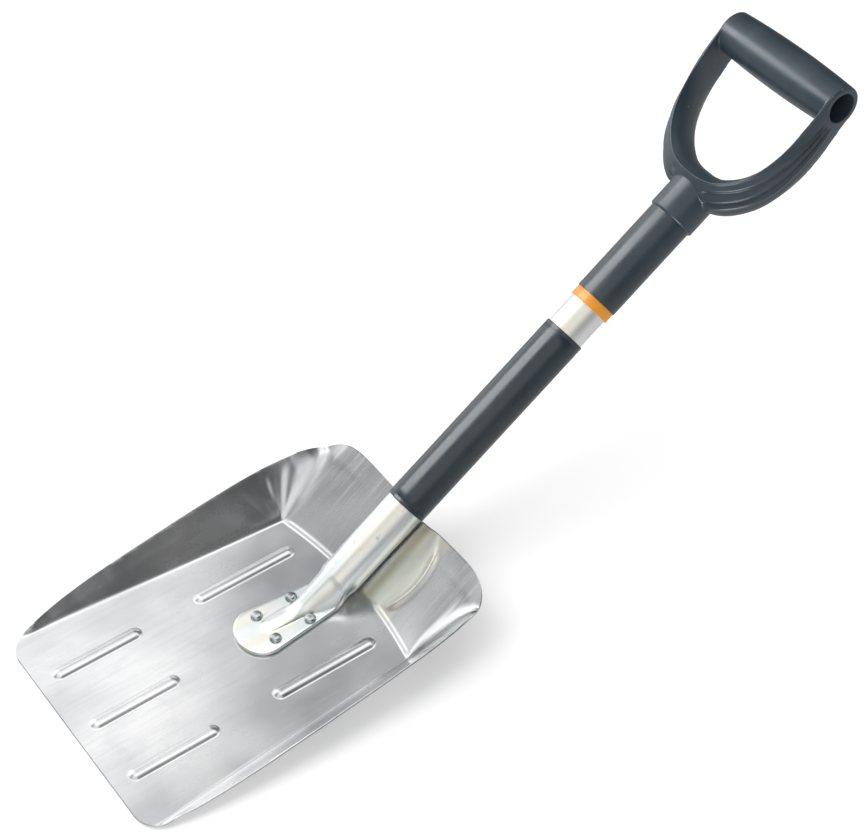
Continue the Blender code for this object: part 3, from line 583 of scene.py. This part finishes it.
def foot_profile(half_w, ridge_w, height, roundness, count):
    """Cross section of the foot as (x, w) pairs, anticlockwise from the right edge."""
    angle = 2.0 * np.pi * np.arange(count) / count
    quarter = np.pi / 2.0
    fold = np.where(angle <= np.pi, np.minimum(angle, np.pi - angle), 0.0)
    side = np.where(np.cos(angle) >= 0.0, 1.0, -1.0)
    plate_share = 0.42
    t = fold / quarter
    on_plate = t < plate_share
    edge = half_w - 0.5 * FOOT_PLATE
    p = np.clip(t / plate_share, 0.0, 1.0)
    lip = np.minimum(p / 0.2, 1.0) * 0.5 * np.pi
    taper = edge + (ridge_w * 1.12 - edge) * (p - 0.2) / 0.8
    x_plate = np.where(p < 0.2, edge + 0.5 * FOOT_PLATE * np.cos(lip), taper)
    w_plate = np.where(p < 0.2, 0.5 * FOOT_PLATE * (1.0 + np.sin(lip)), FOOT_PLATE)
    turn = 0.5 * np.pi * np.clip((t - plate_share) / (1.0 - plate_share), 0.0, 1.0)
    x_ridge = ridge_w * (np.cos(turn) + 0.12 * np.cos(turn) ** 6)
    w_ridge = FOOT_PLATE + (height - FOOT_PLATE) * np.sin(turn) ** 1.15
    x = np.where(on_plate, x_plate, x_ridge)
    w = np.where(on_plate, w_plate, w_ridge)
    low = angle > np.pi
    back = (angle - np.pi) / np.pi
    x_low = half_w * np.cos(angle)
    curl = np.minimum(np.minimum(back, 1.0 - back) / 0.08, 1.0)
    w = np.where(low, 0.5 * FOOT_PLATE * (1.0 - np.sin(0.5 * np.pi * curl)), w)
    reach = edge + 0.5 * FOOT_PLATE * np.cos(0.5 * np.pi * curl)
    x = np.where(low, np.sign(x_low) * np.minimum(np.abs(x_low) * 1.02, reach), x * side)
    round_x = TUBE_R * np.cos(angle)
    round_w = 0.5 * height * (1.0 + np.sin(angle))
    return x + (round_x - x) * roundness, w + (round_w - w) * roundness


def ridge_height(base_y, tilt):
    """Height of the foot's ridge, from the flat tongue up to the top of the tube."""
    line_y = SOCKET.y - SOCKET.z / math.tan(LIFT)
    top = (base_y - line_y) * math.tan(LIFT) + TUBE_R / math.cos(LIFT) - SHEET - GAP
    straight = top / (math.cos(tilt) + math.tan(LIFT) * math.sin(tilt))
    start = FOOT_TIP_Y + 20.5 * MM
    tongue = FOOT_PLATE + 1.2 * MM * float(smooth01(start, start + 7.0 * MM, np.float64(base_y)))
    tongue += 0.07 * max(base_y - start - 6.0 * MM, 0.0)
    return float(soft_max(np.float64(straight), np.float64(tongue), 4.0 * MM))


def build_tube():
    """Zinc tube: a flattened foot lofted through its stations into a round, open tube."""
    count = 96
    table = np.array(FOOT_STATIONS)
    runs = np.concatenate([[0.0, 0.25, 0.6, 1.0], np.arange(1.6, FOOT_END, 1.3), [FOOT_END]])
    dense = np.arange(0.0, FOOT_END + 0.01, 0.1)
    kernel = np.hanning(41)
    kernel /= kernel.sum()
    smooth = [dense]
    for column in range(1, 5):
        values = np.interp(dense, table[:, 0], table[:, column])
        padded = np.pad(values, 20, mode="reflect", reflect_type="odd")
        smooth.append(np.convolve(padded, kernel, "valid"))
    verts = []
    for run in runs:
        lean, half_w, ridge_w, roundness = (float(np.interp(run, dense, c)) for c in smooth[1:])
        if run < FOOT_TAPER:
            half_w = FOOT_HALF_W * math.sqrt(max(1.0 - ((FOOT_TAPER - run) / FOOT_TAPER) ** 2.15, 0.004))
        tilt = lean * LIFT
        up = Vector((0.0, -math.sin(tilt), math.cos(tilt)))
        base = Vector((0.0, FOOT_TIP_Y + run * MM, SHEET + GAP))
        height = max(ridge_height(base.y, tilt), FOOT_PLATE)
        roundness = min(max(roundness, 0.0), 1.0)
        x, w = foot_profile(half_w * MM, max(ridge_w, 0.5) * MM, height, roundness, count)
        verts += [tuple(base + Vector((a, 0.0, 0.0)) + up * b) for a, b in zip(x, w)]
    tube_start = (SHEET + GAP - SOCKET.z + TUBE_R * math.cos(LIFT)) / math.sin(LIFT)
    rings = [(TUBE_R, tube_start + (1.5 + 3.0 * i) * MM) for i in range(4)]
    rings += [(TUBE_R, u * MM) for u in np.arange(-20.0, 270.0, 10.0) if u * MM > tube_start + 12.0 * MM]
    rings += [(TUBE_R, TUBE_END_U - 0.4 * MM), (TUBE_R - 0.4 * MM, TUBE_END_U),
              (TUBE_BORE_R + 0.3 * MM, TUBE_END_U), (TUBE_BORE_R, TUBE_END_U - 0.3 * MM),
              (TUBE_BORE_R, tube_start + 12.0 * MM), (9.0 * MM, tube_start + 4.0 * MM)]
    for radius, u in rings:
        for i in range(count):
            angle = 2.0 * math.pi * i / count
            verts.append(tuple(shaft_point(radius * math.cos(angle), radius * math.sin(angle), u)))
    total = len(runs) + len(rings)
    faces = [list(range(count))[::-1]]
    for k in range(total - 1):
        for i in range(count):
            j = (i + 1) % count
            faces.append([k * count + i, k * count + j, (k + 1) * count + j, (k + 1) * count + i])
    faces.append([(total - 1) * count + i for i in range(count)])
    return mesh_piece("foot_tube", verts, faces, 50.0)


def build_rivets():
    """Four dome heads, each with a shank and an upset tail under the sheet."""
    top = SHEET + 2.0 * GAP + FOOT_PLATE
    head_r, head_rise = 4.8 * MM, 2.9 * MM
    profile = [(0.0, -GAP - 1.5 * MM), (1.4 * MM, -GAP - 1.45 * MM), (2.9 * MM, -GAP - 1.25 * MM),
               (3.7 * MM, -GAP - 0.8 * MM), (3.9 * MM, -GAP - 0.2 * MM), (3.8 * MM, -GAP),
               (2.4 * MM, -GAP), (2.4 * MM, top)]
    for i in range(13):
        angle = math.radians(90.0 * i / 12)
        profile.append((head_r * math.cos(angle) ** 0.8, top + head_rise * math.sin(angle) ** 0.9))
    for number, (x, y) in enumerate(RIVETS, start=1):
        rivet = revolved("rivet_%d" % number, profile, 40, lambda a, b, s, cx=x, cy=y: (cx + a, cy + b, s))
        dress(rivet, RIVET)
        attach(rivet, "shovel")
        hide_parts("blade_rivet_%d" % number)


def lip(radius, station, step, inward, blend=0.7 * MM):
    """Rounded corner of a revolved wall, from the end face to the outer face."""
    made = []
    for i in range(6):
        angle = math.radians(90.0 * i / 5)
        made.append((radius - blend * (1.0 - math.sin(angle)),
                     station + step * blend * (1.0 - math.cos(angle))))
    return made if inward else made[::-1]


def ring_groove(radius, station, width, depth):
    """Shallow rounded groove in a revolved wall."""
    half = 0.5 * width
    return [(radius, station - half), (radius - 0.8 * depth, station - 0.55 * half),
            (radius - depth, station), (radius - 0.8 * depth, station + 0.55 * half),
            (radius, station + half)]


def shaft_skin(name, node, mat, body, profile):
    """A hollow turned piece on the shaft that stands for a CAD node."""
    piece = revolved(name, profile, 112, shaft_point, 35.0, True)
    if node == "upper_tube":
        cut(piece, revolved("hole", [(2.3 * MM, -24.0 * MM), (2.3 * MM, -10.7 * MM)], 32, screw_place))
    dress(piece, mat)
    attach(piece, body)
    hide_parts(node)


def build_shaft():
    """Sleeve, guide bush and upper tube, turned finely with rounded lips and shallow rings."""
    bore, outer, top = TUBE_R + GAP, SLEEVE_R, SLEEVE_LENGTH
    profile = [(bore, 0.3 * MM), (bore + 0.3 * MM, 0.0)] + lip(outer, 0.0, 1.0, True, 0.6 * MM)
    profile += ring_groove(outer, 3.2 * MM, 0.9 * MM, 0.16 * MM)
    profile += [(outer, u * MM) for u in range(10, 171, 10)]
    profile += ring_groove(outer, top - 3.2 * MM, 0.9 * MM, 0.16 * MM)
    profile += lip(outer, top, -1.0, False, 0.6 * MM) + [(bore + 0.3 * MM, top), (bore, top - 0.3 * MM)]
    shaft_skin("sleeve", "lower_sleeve", SLATE, "shovel", profile)

    bore, outer, low, high = TUBE_R + 0.25 * MM, BUSH_R, BUSH_LOW, BUSH_LOW + BUSH_RIM
    end = high + SPIGOT_LENGTH
    profile = [(bore, low + 0.5 * MM), (bore + 0.4 * MM, low)] + lip(outer, low, 1.0, True, 0.75 * MM)
    profile += ring_groove(outer, high - 1.5 * MM, 0.8 * MM, 0.18 * MM)
    profile += lip(outer, high, -1.0, False, 0.25 * MM)
    profile += [(SPIGOT_R, high), (SPIGOT_R, end - 0.8 * MM), (SPIGOT_R - 0.35 * MM, end),
                (bore + 0.2 * MM, end), (bore, end - 0.4 * MM)]
    shaft_skin("guide", "guide_bush", ORANGE, "handle", profile)

    bore, low, high = UPPER_BORE_R, UPPER_LOW, UPPER_END
    profile = [(bore, low + 0.1 * MM), (bore + 0.1 * MM, low)] + lip(UPPER_R, low, 1.0, True, 0.45 * MM)
    profile += [(UPPER_R, low + u * MM) for u in range(6, 108, 6)]
    profile += lip(UPPER_R, high, -1.0, False, 0.3 * MM) + [(bore + 0.1 * MM, high), (bore, high - 0.1 * MM)]
    shaft_skin("outer_tube", "upper_tube", DARK_TUBE, "handle", profile)


def screw_place(x, y, station):
    """Across the shaft at the fixing screw; the station runs up from the shaft axis."""
    return shaft_point(x, station, SCREW_STATION + y)


def build_screw():
    """Button-head screw with a hexagon socket, through the neck from underneath."""
    seat = -(NECK_R + GAP)
    side = [(1.2 * MM, -17.35 * MM), (2.0 * MM, -17.8 * MM), (2.0 * MM, seat), (3.3 * MM, seat),
            (3.6 * MM, seat - 0.3 * MM), (3.6 * MM, seat - 0.7 * MM), (3.3 * MM, seat - 1.3 * MM),
            (2.7 * MM, seat - 1.75 * MM), (2.0 * MM, seat - 1.9 * MM)]
    socket = [(1.45 * MM, seat - 0.9 * MM), (1.45 * MM, seat - 3.0 * MM)]
    screw = revolved("neck_screw", side, 48, screw_place)
    cut(screw, revolved("hexagon", socket, 6, screw_place))
    screw.data.set_sharp_from_angle(angle=math.radians(35.0))
    dress(screw, ZINC)
    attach(screw, "handle")
    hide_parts("handle_screw")


def revolved(name, profile, count, place, sharp_angle=40.0, closed=False):
    """Rings of (radius, station) through place(x, y, station); radius 0 closes to a point."""
    verts, rings = [], []
    for radius, station in profile:
        if radius < 1e-7:
            rings.append([len(verts)] * count)
            verts.append(tuple(place(0.0, 0.0, station)))
            continue
        rings.append(list(range(len(verts), len(verts) + count)))
        for i in range(count):
            angle = 2.0 * math.pi * i / count
            verts.append(tuple(place(radius * math.cos(angle), radius * math.sin(angle), station)))
    faces = []
    pairs = list(zip(rings, rings[1:])) + ([(rings[-1], rings[0])] if closed else [])
    for ring_a, ring_b in pairs:
        for i in range(count):
            j = (i + 1) % count
            corners = []
            for v in (ring_a[i], ring_a[j], ring_b[j], ring_b[i]):
                if v not in corners:
                    corners.append(v)
            if len(corners) > 2:
                faces.append(corners)
    if not closed:
        if len(set(rings[0])) > 1:
            faces.append(rings[0][::-1])
        if len(set(rings[-1])) > 1:
            faces.append(rings[-1])
    obj = mesh_piece(name, verts, faces, sharp_angle)
    outward(obj)
    return obj


def outward(obj):
    """Turn every face of a closed mesh outwards."""
    bm = bmesh.new()
    bm.from_mesh(obj.data)
    bmesh.ops.recalc_face_normals(bm, faces=bm.faces)
    bm.to_mesh(obj.data)
    bm.free()


# ---- D handle ----------------------------------------------------------
PIVOT = SOCKET + AXIS * (320.0 * MM)
LEAN = math.radians(10.1)
LEAN_V = AXIS * math.cos(LEAN) + RISE * math.sin(LEAN)
LEAN_W = RISE * math.cos(LEAN) - AXIS * math.sin(LEAN)
GRIP_V = 120.0 * MM
GRIP_HALF = 60.2 * MM
GRIP_END_R = 15.6 * MM
GRIP_BORE_R = 12.0 * MM
NECK_R = 19.8 * MM
NECK_LOW = 298.1 * MM
NECK_HIGH = 331.0 * MM
UPPER_R = 18.05 * MM
UPPER_END = 324.0 * MM
# inner line of the arms from the throat to the grip, (x, v) in mm
ARM_INNER = [(0.0, 24.2), (11.0, 24.8), (21.5, 28.0), (34.0, 37.2), (43.6, 49.5), (50.8, 65.0),
             (55.2, 81.0), (56.8, 95.0), (57.3, 107.0), (57.3, 120.0)]
# thickness at the rims, crown of the outer face, extra at the lower rim, half depth
ARM_SIZES = [(12.6, 12.0, 6.0, 20.5), (11.4, 12.0, 7.0, 20.3), (10.0, 11.0, 8.0, 19.5),
             (8.4, 9.0, 8.0, 18.5), (6.8, 6.4, 7.0, 17.7), (5.4, 3.8, 5.0, 17.1),
             (4.6, 2.0, 2.4, 16.8), (4.2, 1.3, 0.8, 16.7), (3.9, 1.0, 0.0, 16.7),
             (3.8, 0.8, 0.0, 16.7)]


def handle_point(x, w, v):
    """Point in the D's frame: x across, w above its plane and v up from the pivot."""
    return PIVOT + Vector((x, 0.0, 0.0)) + LEAN_W * w + LEAN_V * v


def spline(stations, per_gap, mirrored):
    """Dense Catmull-Rom curve through the stations; x mirrors across the first one."""
    p = np.array(stations, float)
    first = p[1].copy()
    if mirrored:
        first[0] = -first[0]
    p = np.vstack([first, p, 2.0 * p[-1] - p[-2]])
    made = []
    for a, b, c, d in zip(p, p[1:], p[2:], p[3:]):
        for t in np.arange(per_gap) / per_gap:
            made.append(0.5 * (2 * b + (c - a) * t + (2 * a - 5 * b + 4 * c - d) * t ** 2
                               + (3 * b - a - 3 * c + d) * t ** 3))
    return np.array(made + [p[-2]])


def arm_outline(thick, crown, skew, depth, v, ridges):
    """Closed section (outward, w): rounded inner face, three ridges on the outer face."""
    share = np.concatenate([np.linspace(0.995, 0.9, 6), np.linspace(0.885, -0.88, 84),
                            np.linspace(-0.9, -0.995, 6)])
    hull = thick + crown * (1.0 - share ** 2) + 0.5 * skew * (1.0 - share)
    hull -= max(thick - 3.0, 0.0) * smooth01(0.55, 1.0, np.abs(share)) * 0.35
    heights = (24.0, 28.0, 50.0, 80.0, 105.0)
    middle = np.interp(v, heights, (0.60, 0.58, 0.36, 0.14, 0.0))
    pitch = np.interp(v, heights, (0.27, 0.29, 0.37, 0.34, 0.26))
    lines = sum(np.exp(-((share - middle - k * pitch) / (0.24 * pitch)) ** 2) for k in (-1, 0, 1))
    grooves = sum(np.exp(-((share - middle - k * pitch) / (0.22 * pitch)) ** 2) for k in (-0.5, 0.5))
    out = hull + ridges * (1.4 * lines - 2.3 * grooves)
    saddle = np.interp(v, (24.0, 30.0, 48.0, 88.0), (7.6, 7.0, 5.6, 1.2))
    inner = np.linspace(-1.0, 1.0, 31)
    inner_out = saddle * np.abs(inner) ** 2.4
    rim = 1.5
    low = min(depth, 16.4)
    rows = [(o, w * ((depth if w > 0.0 else low) - 0.5)) for o, w in zip(inner_out, inner)]
    rows += [(saddle + 0.25, depth + 0.35), (saddle + 0.8, depth + 0.35), (saddle + rim, depth - 0.35)]
    for o, s in zip(out, share):
        rows.append((max(o, saddle + rim), s * (depth if s > 0.0 else low) - 0.3 * (s > 0.9)))
    return rows


def build_arms():
    """Both arms of the D as one loft along their inner line."""
    inner = spline(ARM_INNER, 9, True)
    sizes = spline(ARM_SIZES, 9, False)
    tangent = np.gradient(inner, axis=0)
    tangent[0] = (1.0, 0.0)
    tangent /= np.linalg.norm(tangent, axis=1, keepdims=True)
    loops = []
    for (x, v), (tx, tv), size in zip(inner, tangent, sizes):
        off_throat = float(smooth01(12.0, 17.0, np.float64(x)))
        ridges = off_throat * (1.0 - float(smooth01(94.0, 106.0, np.float64(v))))
        loops.append([(x + tv * o, w, v - tx * o) for o, w in arm_outline(*size, float(v), ridges)])
    left = [[(-x, w, v) for x, w, v in loop] for loop in loops[:0:-1]]
    loops = left + loops
    count = len(loops[0])
    verts = [tuple(handle_point(x * MM, w * MM, v * MM)) for loop in loops for x, w, v in loop]
    faces = [list(range(count)), [len(verts) - count + i for i in range(count)][::-1]]
    for k in range(len(loops) - 1):
        for i in range(count):
            j = (i + 1) % count
            faces.append([k * count + j, k * count + i, (k + 1) * count + i, (k + 1) * count + j])
    arms = mesh_piece("handle_arms", verts, faces)
    outward(arms)
    return arms


def build_handle():
    """Arms, neck and barrel grip welded into one moulding, then bored."""
    arms = build_arms()
    neck = revolved("handle_neck",
                    [(NECK_R - 1.0 * MM, NECK_LOW), (NECK_R, NECK_LOW + 1.0 * MM),
                     (NECK_R, NECK_HIGH - 2.0 * MM), (NECK_R - 2.0 * MM, NECK_HIGH + 1.0 * MM),
                     (NECK_R - 7.0 * MM, NECK_HIGH + 2.5 * MM), (2.0 * MM, NECK_HIGH + 3.0 * MM)],
                    96, shaft_point)
    barrel = [(GRIP_END_R, -GRIP_HALF - 1.2 * MM)]
    for i in range(25):
        share = -1.0 + i / 12.0
        barrel.append(((18.9 - 2.0 * share ** 2) * MM, GRIP_HALF * share))
    barrel.append((GRIP_END_R, GRIP_HALF + 1.2 * MM))
    grip = revolved("handle_grip", barrel, 96, grip_point)
    handle = join_pieces([arms, neck, grip], "d_handle")
    voxel = handle.modifiers.new("weld", "REMESH")
    voxel.mode = "VOXEL"
    voxel.voxel_size = 0.5 * MM
    relax = handle.modifiers.new("relax", "SMOOTH")
    relax.factor = 0.5
    relax.iterations = 2
    bake(handle)
    flare = GRIP_BORE_R + 0.4 * MM
    bore = [(flare, -GRIP_HALF - 9.0 * MM), (GRIP_BORE_R, -GRIP_HALF + 1.0 * MM), (GRIP_BORE_R, 0.0),
            (GRIP_BORE_R, GRIP_HALF - 1.0 * MM), (flare, GRIP_HALF + 9.0 * MM)]
    cut(handle, revolved("bore", bore, 64, grip_point))
    socket = [(UPPER_R + GAP, NECK_LOW - 5.0 * MM), (UPPER_R + GAP, UPPER_END + GAP)]
    cut(handle, revolved("socket", socket, 64, shaft_point))
    handle.data.shade_smooth()
    handle.data.set_sharp_from_angle(angle=math.radians(55.0))
    dress(handle, HANDLE)
    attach(handle, "handle")
    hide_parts("handle_frame")


def grip_point(x, y, station):
    """Across the D at its grip; the station runs along the grip."""
    return handle_point(station, x, GRIP_V + y)


def join_pieces(pieces, name):
    bm = bmesh.new()
    for piece in pieces:
        bm.from_mesh(piece.data)
    mesh = bpy.data.meshes.new(name)
    bm.to_mesh(mesh)
    bm.free()
    for piece in pieces:
        bpy.data.objects.remove(piece, do_unlink=True)
    obj = bpy.data.objects.new(name, mesh)
    bpy.context.scene.collection.objects.link(obj)
    return obj


def bake(obj):
    """Apply an object's modifiers to its mesh."""
    depsgraph = bpy.context.evaluated_depsgraph_get()
    baked = bpy.data.meshes.new_from_object(obj.evaluated_get(depsgraph), depsgraph=depsgraph)
    obj.modifiers.clear()
    obj.data = baked


def cut(obj, cutter):
    """Take the cutter's shape out of the object and delete the cutter."""
    mod = obj.modifiers.new("cut", "BOOLEAN")
    mod.operation = "DIFFERENCE"
    mod.solver = "EXACT"
    mod.object = cutter
    bake(obj)
    bpy.data.objects.remove(cutter, do_unlink=True)


ALU = aluminium()
ZINC = zinc()
RIVET = rivet_steel()
SLATE = plastic("slate_plastic", (0.020, 0.033, 0.043), (0.028, 0.042, 0.052), 0.25)
DARK_TUBE = plastic("tube_coating", (0.024, 0.038, 0.049), (0.034, 0.048, 0.059), 0.30)
HANDLE = plastic("handle_plastic", (0.030, 0.048, 0.064), (0.042, 0.062, 0.080), 0.34, 0.7)
ORANGE = plastic("orange_plastic", (0.86, 0.30, 0.010), (0.90, 0.35, 0.025), 0.30)
LOCK = plastic("lock_plastic", (0.10, 0.10, 0.11), (0.12, 0.12, 0.13), 0.5)
RING = plastic("ring_plastic", (0.68, 0.68, 0.65), (0.72, 0.72, 0.7), 0.5)

LOOK = {"blade_pan": (ALU, "aluminium"), "lower_tube": (ZINC, "zinc_steel"),
        "lower_sleeve": (SLATE, "sleeve_plastic"), "guide_bush": (ORANGE, "orange_plastic"),
        "upper_tube": (DARK_TUBE, "tube_coating"), "handle_frame": (HANDLE, "handle_plastic"),
        "handle_screw": (ZINC, "screw_steel"), "lock_spindle": (LOCK, "plug_plastic"),
        "lock_ring": (RING, "ring_plastic"), "lock_washer": (ZINC, "lock_steel"),
        "lock_screw": (ZINC, "lock_steel")}
for name, obj in NODES.items():
    mat, slot = LOOK.get(name, (ZINC, "rivet_steel"))
    dress(obj, mat)


blade = build_blade()
dress(blade, ALU)
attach(blade, "shovel")
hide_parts("blade_pan")
tube = build_tube()
dress(tube, ZINC)
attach(tube, "shovel")
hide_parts("lower_tube")
build_rivets()
build_shaft()
build_screw()
build_handle()
for name in ("lock_spindle", "lock_ring", "lock_washer", "lock_screw"):
    edge = NODES[name].modifiers.new("edge", "BEVEL")
    edge.width = 0.25 * MM
    edge.segments = 2
    edge.limit_method = "ANGLE"
    edge.angle_limit = math.radians(40.0)


# ---- studio ------------------------------------------------------------
# patches of brightness: (direction, cosine where full, cosine where it fades out, value)
WORLD_LOBES = [((0.0, 0.0, 1.0), -1.0, -1.01, 0.40),
               ((0.0, 0.0, -1.0), 0.4, 0.0, 0.22),
               ((0.84, 0.30, 0.46), 0.96, 0.86, -0.32),
               ((0.60, 0.30, 0.74), 0.97, 0.90, -0.32),
               ((0.60, -0.45, 0.65), 0.97, 0.86, 0.6),
               ((-0.95, -0.24, 0.20), 0.96, 0.82, 1.25),
               ((-0.6, 0.8, 0.05), 0.95, 0.7, -0.3),
               ((-0.59, -0.12, 0.80), 0.985, 0.95, 0.6),
               ((-0.40, -0.62, 0.67), 0.97, 0.86, 0.16),
               ((-0.74, -0.60, 0.30), 0.97, 0.86, -0.28),
               ((-0.10, -0.28, 0.95), 0.98, 0.90, 0.55)]
WORLD_LEAST = 0.1
STRIP_VALUE = 0.9


def world_step(tree, value, low, high, top=1.0):
    """Smooth step of a node's output, from nothing at low to top at high."""
    made = tree.nodes.new("ShaderNodeMapRange")
    made.interpolation_type = "SMOOTHSTEP"
    tree.links.new(value, made.inputs[0])
    for index, number in ((1, low), (2, high), (3, 0.0), (4, top)):
        made.inputs[index].default_value = number
    return made.outputs[0]


def world_math(tree, operation, a, b):
    made = tree.nodes.new("ShaderNodeMath")
    made.operation = operation
    for index, value in enumerate((a, b)):
        if isinstance(value, float):
            made.inputs[index].default_value = value
        else:
            tree.links.new(value, made.inputs[index])
    return made.outputs[0]


def build_world():
    """Soft studio light, as patches of brightness by direction."""
    world = bpy.data.worlds.new("studio")
    bpy.context.scene.world = world
    world.use_nodes = True
    tree = world.node_tree
    back = tree.nodes["Background"]
    looking = tree.nodes.new("ShaderNodeTexCoord").outputs["Generated"]
    total = None
    for direction, full, nothing, value in WORLD_LOBES:
        dot = tree.nodes.new("ShaderNodeVectorMath")
        dot.operation = "DOT_PRODUCT"
        tree.links.new(looking, dot.inputs[0])
        dot.inputs[1].default_value = Vector(direction).normalized()
        part = world_step(tree, dot.outputs["Value"], nothing, full, value)
        total = part if total is None else world_math(tree, "ADD", total, part)
    strip = world_math(tree, "MULTIPLY", overhead_strip(tree, looking), STRIP_VALUE)
    total = world_math(tree, "ADD", total, strip)
    tree.links.new(world_math(tree, "MAXIMUM", total, WORLD_LEAST), back.inputs["Color"])
    back.inputs["Strength"].default_value = 1.0


def overhead_strip(tree, looking):
    """A long softbox above the object, running front to back."""
    split = tree.nodes.new("ShaderNodeSeparateXYZ")
    tree.links.new(looking, split.inputs[0])
    left = world_step(tree, split.outputs[0], -0.48, -0.30)
    right = world_math(tree, "SUBTRACT", 1.0, world_step(tree, split.outputs[0], 0.08, 0.24))
    high = world_step(tree, split.outputs[2], 0.6, 0.8)
    behind = world_step(tree, split.outputs[1], -0.30, 0.05)
    strip = world_math(tree, "MULTIPLY", world_math(tree, "MULTIPLY", left, right), high)
    return world_math(tree, "MULTIPLY", strip, behind)


def area_light(name, place, target, size, power, along=(1.0, 0.0, 0.0)):
    """Rectangle facing the target, with its first side along the given direction."""
    data = bpy.data.lights.new(name, "AREA")
    data.shape = "RECTANGLE"
    data.size, data.size_y = size
    data.energy = power
    obj = bpy.data.objects.new(name, data)
    bpy.context.scene.collection.objects.link(obj)
    back = (Vector(place) - Vector(target)).normalized()
    side = Vector(along) - back * back.dot(Vector(along))
    side.normalize()
    turn = Matrix((side, back.cross(side), back)).transposed().to_4x4()
    obj.matrix_world = Matrix.Translation(place) @ turn
    return obj


def gloss_card(name, target, direction, distance, size, power, along=(1.0, 0.0, 0.0), receivers=()):
    """A card seen only as a reflection, at a distance from the point it lights."""
    place = Vector(target) + Vector(direction).normalized() * distance
    card = area_light(name, place, target, size, power, along)
    card.visible_camera = False
    card.visible_diffuse = False
    if receivers:
        lit = bpy.data.collections.new(name + "_lit")
        for piece in receivers:
            lit.objects.link(bpy.data.objects[piece])
        card.light_linking.receiver_collection = lit


def build_floor():
    """Plain pale floor just under the object."""
    low, _ = CAD_BOX
    bm = bmesh.new()
    bmesh.ops.create_grid(bm, x_segments=1, y_segments=1, size=8.0)
    mesh = bpy.data.meshes.new("studio_floor")
    bm.to_mesh(mesh)
    bm.free()
    obj = bpy.data.objects.new("studio_floor", mesh)
    bpy.context.scene.collection.objects.link(obj)
    obj.location = (0.0, 0.0, low.z - 0.0005)
    s = Shader("floor_white")
    s.set(colour=(0.93, 0.93, 0.93), rough=0.9, spec=0.0)
    s.bsdf.inputs["Emission Color"].default_value = (1.0, 1.0, 1.0, 1.0)
    s.bsdf.inputs["Emission Strength"].default_value = 0.3
    mesh.materials.append(s.mat)
    obj.visible_glossy = False


CAMERA_PLACE = Vector((1.0281, -0.4386, 1.3536))
CAMERA_LENS = 95.744
CAMERA_SENSOR = 36.0
CAMERA_HEADING = math.radians(57.60438)
CAMERA_PITCH = math.radians(45.14386)
CAMERA_ROLL = math.radians(-3.56898)


def build_camera():
    """Camera that looks down at the scoop from the front right. Heading 0 looks along +Y."""
    data = bpy.data.cameras.new("camera")
    data.lens = CAMERA_LENS
    data.sensor_width = CAMERA_SENSOR
    obj = bpy.data.objects.new("camera", data)
    bpy.context.scene.collection.objects.link(obj)
    turn = Matrix.Rotation(CAMERA_HEADING, 4, "Z") @ Matrix.Rotation(0.5 * math.pi - CAMERA_PITCH, 4, "X")
    obj.matrix_world = Matrix.Translation(CAMERA_PLACE) @ turn @ Matrix.Rotation(CAMERA_ROLL, 4, "Z")
    bpy.context.scene.camera = obj


build_world()
key = area_light("key", (-0.5, -0.7, 1.6), (0.0, 0.15, 0.1), (1.6, 1.6), 13.0)
key.visible_glossy = False
gloss_card("floor_card", (-0.03, -0.06, 0.0), (-0.57, 0.18, 0.695), 0.917, (0.32, 0.32), 0.21)
gloss_card("grip_card", (0.0, 0.53, 0.28), (-0.58, -0.546, 0.604), 0.3, (0.24, 0.12), 0.55,
           receivers=["d_handle"])
gloss_card("shaft_card", shaft_point(0.0, 0.0, 165.0 * MM), (-0.46, -0.50, 0.73), 0.3, (0.40, 0.24), 1.9,
           AXIS, ["sleeve", "guide", "outer_tube"])
gloss_card("zinc_card", shaft_point(0.0, 0.0, 110.0 * MM), (-0.40, -0.515, 0.75), 0.3, (0.50, 0.24), 0.2,
           AXIS, ["foot_tube"])
gloss_card("ridge_card", (0.055, 0.50, 0.24), (0.32, -0.90, -0.31), 0.3, (0.16, 0.16), 0.7,
           receivers=["d_handle"])
build_floor()
build_camera()
bpy.context.scene.view_settings.view_transform = "Standard"
